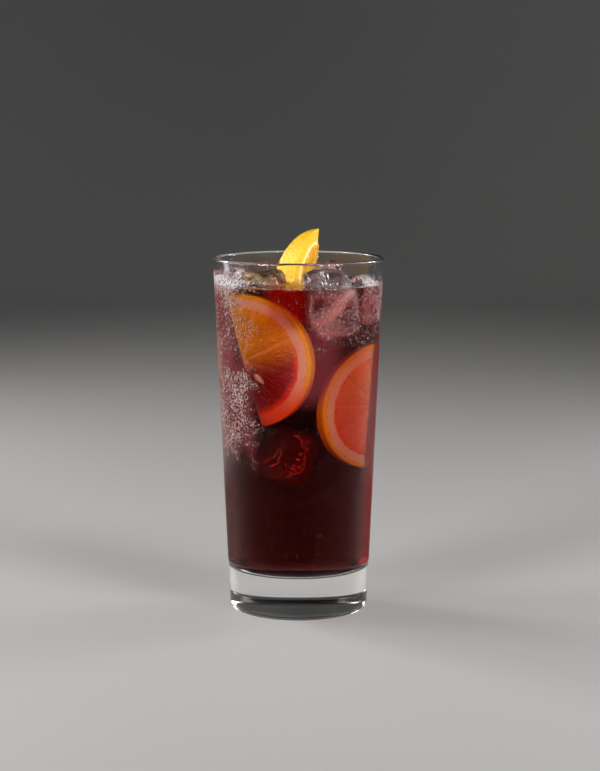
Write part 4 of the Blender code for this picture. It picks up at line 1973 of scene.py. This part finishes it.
# Painted red light of the punch: the sunk cube's red colour, which its milky streaks take too, and its red
# bubbles
SUNK = (
    IceCube("ice_sunk", (0.0180, 0.0150, 0.0260), 23, (-0.0037, -0.0125, 0.0722), (24.0, 12.0, 10.0),
            look=IceFinish(
                milk=0.36, colour=(0.95, 0.14, 0.09), haze=0.22,
                streaks=((-1.0, 81.8, 3.2, 76.0, 0.9), (-6.0, 74.5, -11.5, 67.5, 0.6),
                         (3.2, 76.0, 2.0, 67.0, 0.55), (-4.5, 62.5, 2.0, 66.5, 1.3)),
                hollows=((-3.0, 72.0, -2.0, 70.0, 3.0),)),
            squareness=6.0, heart=(0.35, -0.3, -0.35), bubble_tint=(1.0, 0.24, 0.16), cuts=24),
)

# Painted shade on the slices: redder low ends on the left and right slices, a dark band along the right
# slice's cut edge, and the back slice all dark outside its shown heights
SLICES = (
    HalfSlice("orange_slice_left", 0.0296, (-22.8, 0.0264, -0.0130, 0.1134, -3.4, 15.3),
              (-62.0, -25.0, 13.0, 62.0), OrangeFinish(stains=(1.0, 0.0), painted_low_shade=0.95)),
    HalfSlice("orange_slice_right", 0.0280, (42.0, 0.0246, 0.0192, 0.0920, -3.9, 176.6),
              (-70.0, -36.0, -3.0, 30.0, 66.0),
              OrangeFinish(stain=(0.86, 0.17, 0.12), stains=(0.6, 0.75), painted_dark_edge=4.5, painted_low_shade=0.4)),
    HalfSlice("orange_slice_back", 0.0215, (-124.0, 0.0273, -0.0025, 0.1128, -2.8, -50.0),
              (-72.0, -37.0, 0.0, 35.0, 71.0), OrangeFinish(shown=(0.103, 0.124))),
)

FROTH = ((-112.0, -62.0, 0.0050, 520), (58.0, 92.0, 0.0035, 330), (-40.0, 30.0, 0.0012, 50))
FLOATING_BUBBLES, SUNK_BUBBLES, JUICE_BEADS = 90, 36, 9
SEED_PLACE = (5.0 * MM, -8.8 * MM, -60.0)
BEAD_TRIES = 34000
MIST_GRID = (130, 300)


def main() -> None:
    """Builds the drink from the outside in, then the studio."""
    logging.basicConfig(level=logging.INFO, format="%(message)s")
    tumbler = Tumbler()
    punch = Punch(tumbler)
    tumbler.build(punch.level)
    punch.build(FLOATING, SUNK)
    for cube in (*FLOATING, *SUNK):
        cube.build()
        cube.build_bubbles(FLOATING_BUBBLES if cube in FLOATING else SUNK_BUBBLES)
    for orange_slice in SLICES:
        orange_slice.build()
    SLICES[0].build_seed(*SEED_PLACE)
    wedge = Wedge()
    wedge.build()
    wedge.build_juice(JUICE_BEADS)
    Froth(tumbler, punch.level).build(FROTH)
    wet = Condensation(tumbler)
    wet.build(BEAD_TRIES)
    wet.build_mist(*MIST_GRID)
    Studio().build()


if __name__ == "__main__":
    main()
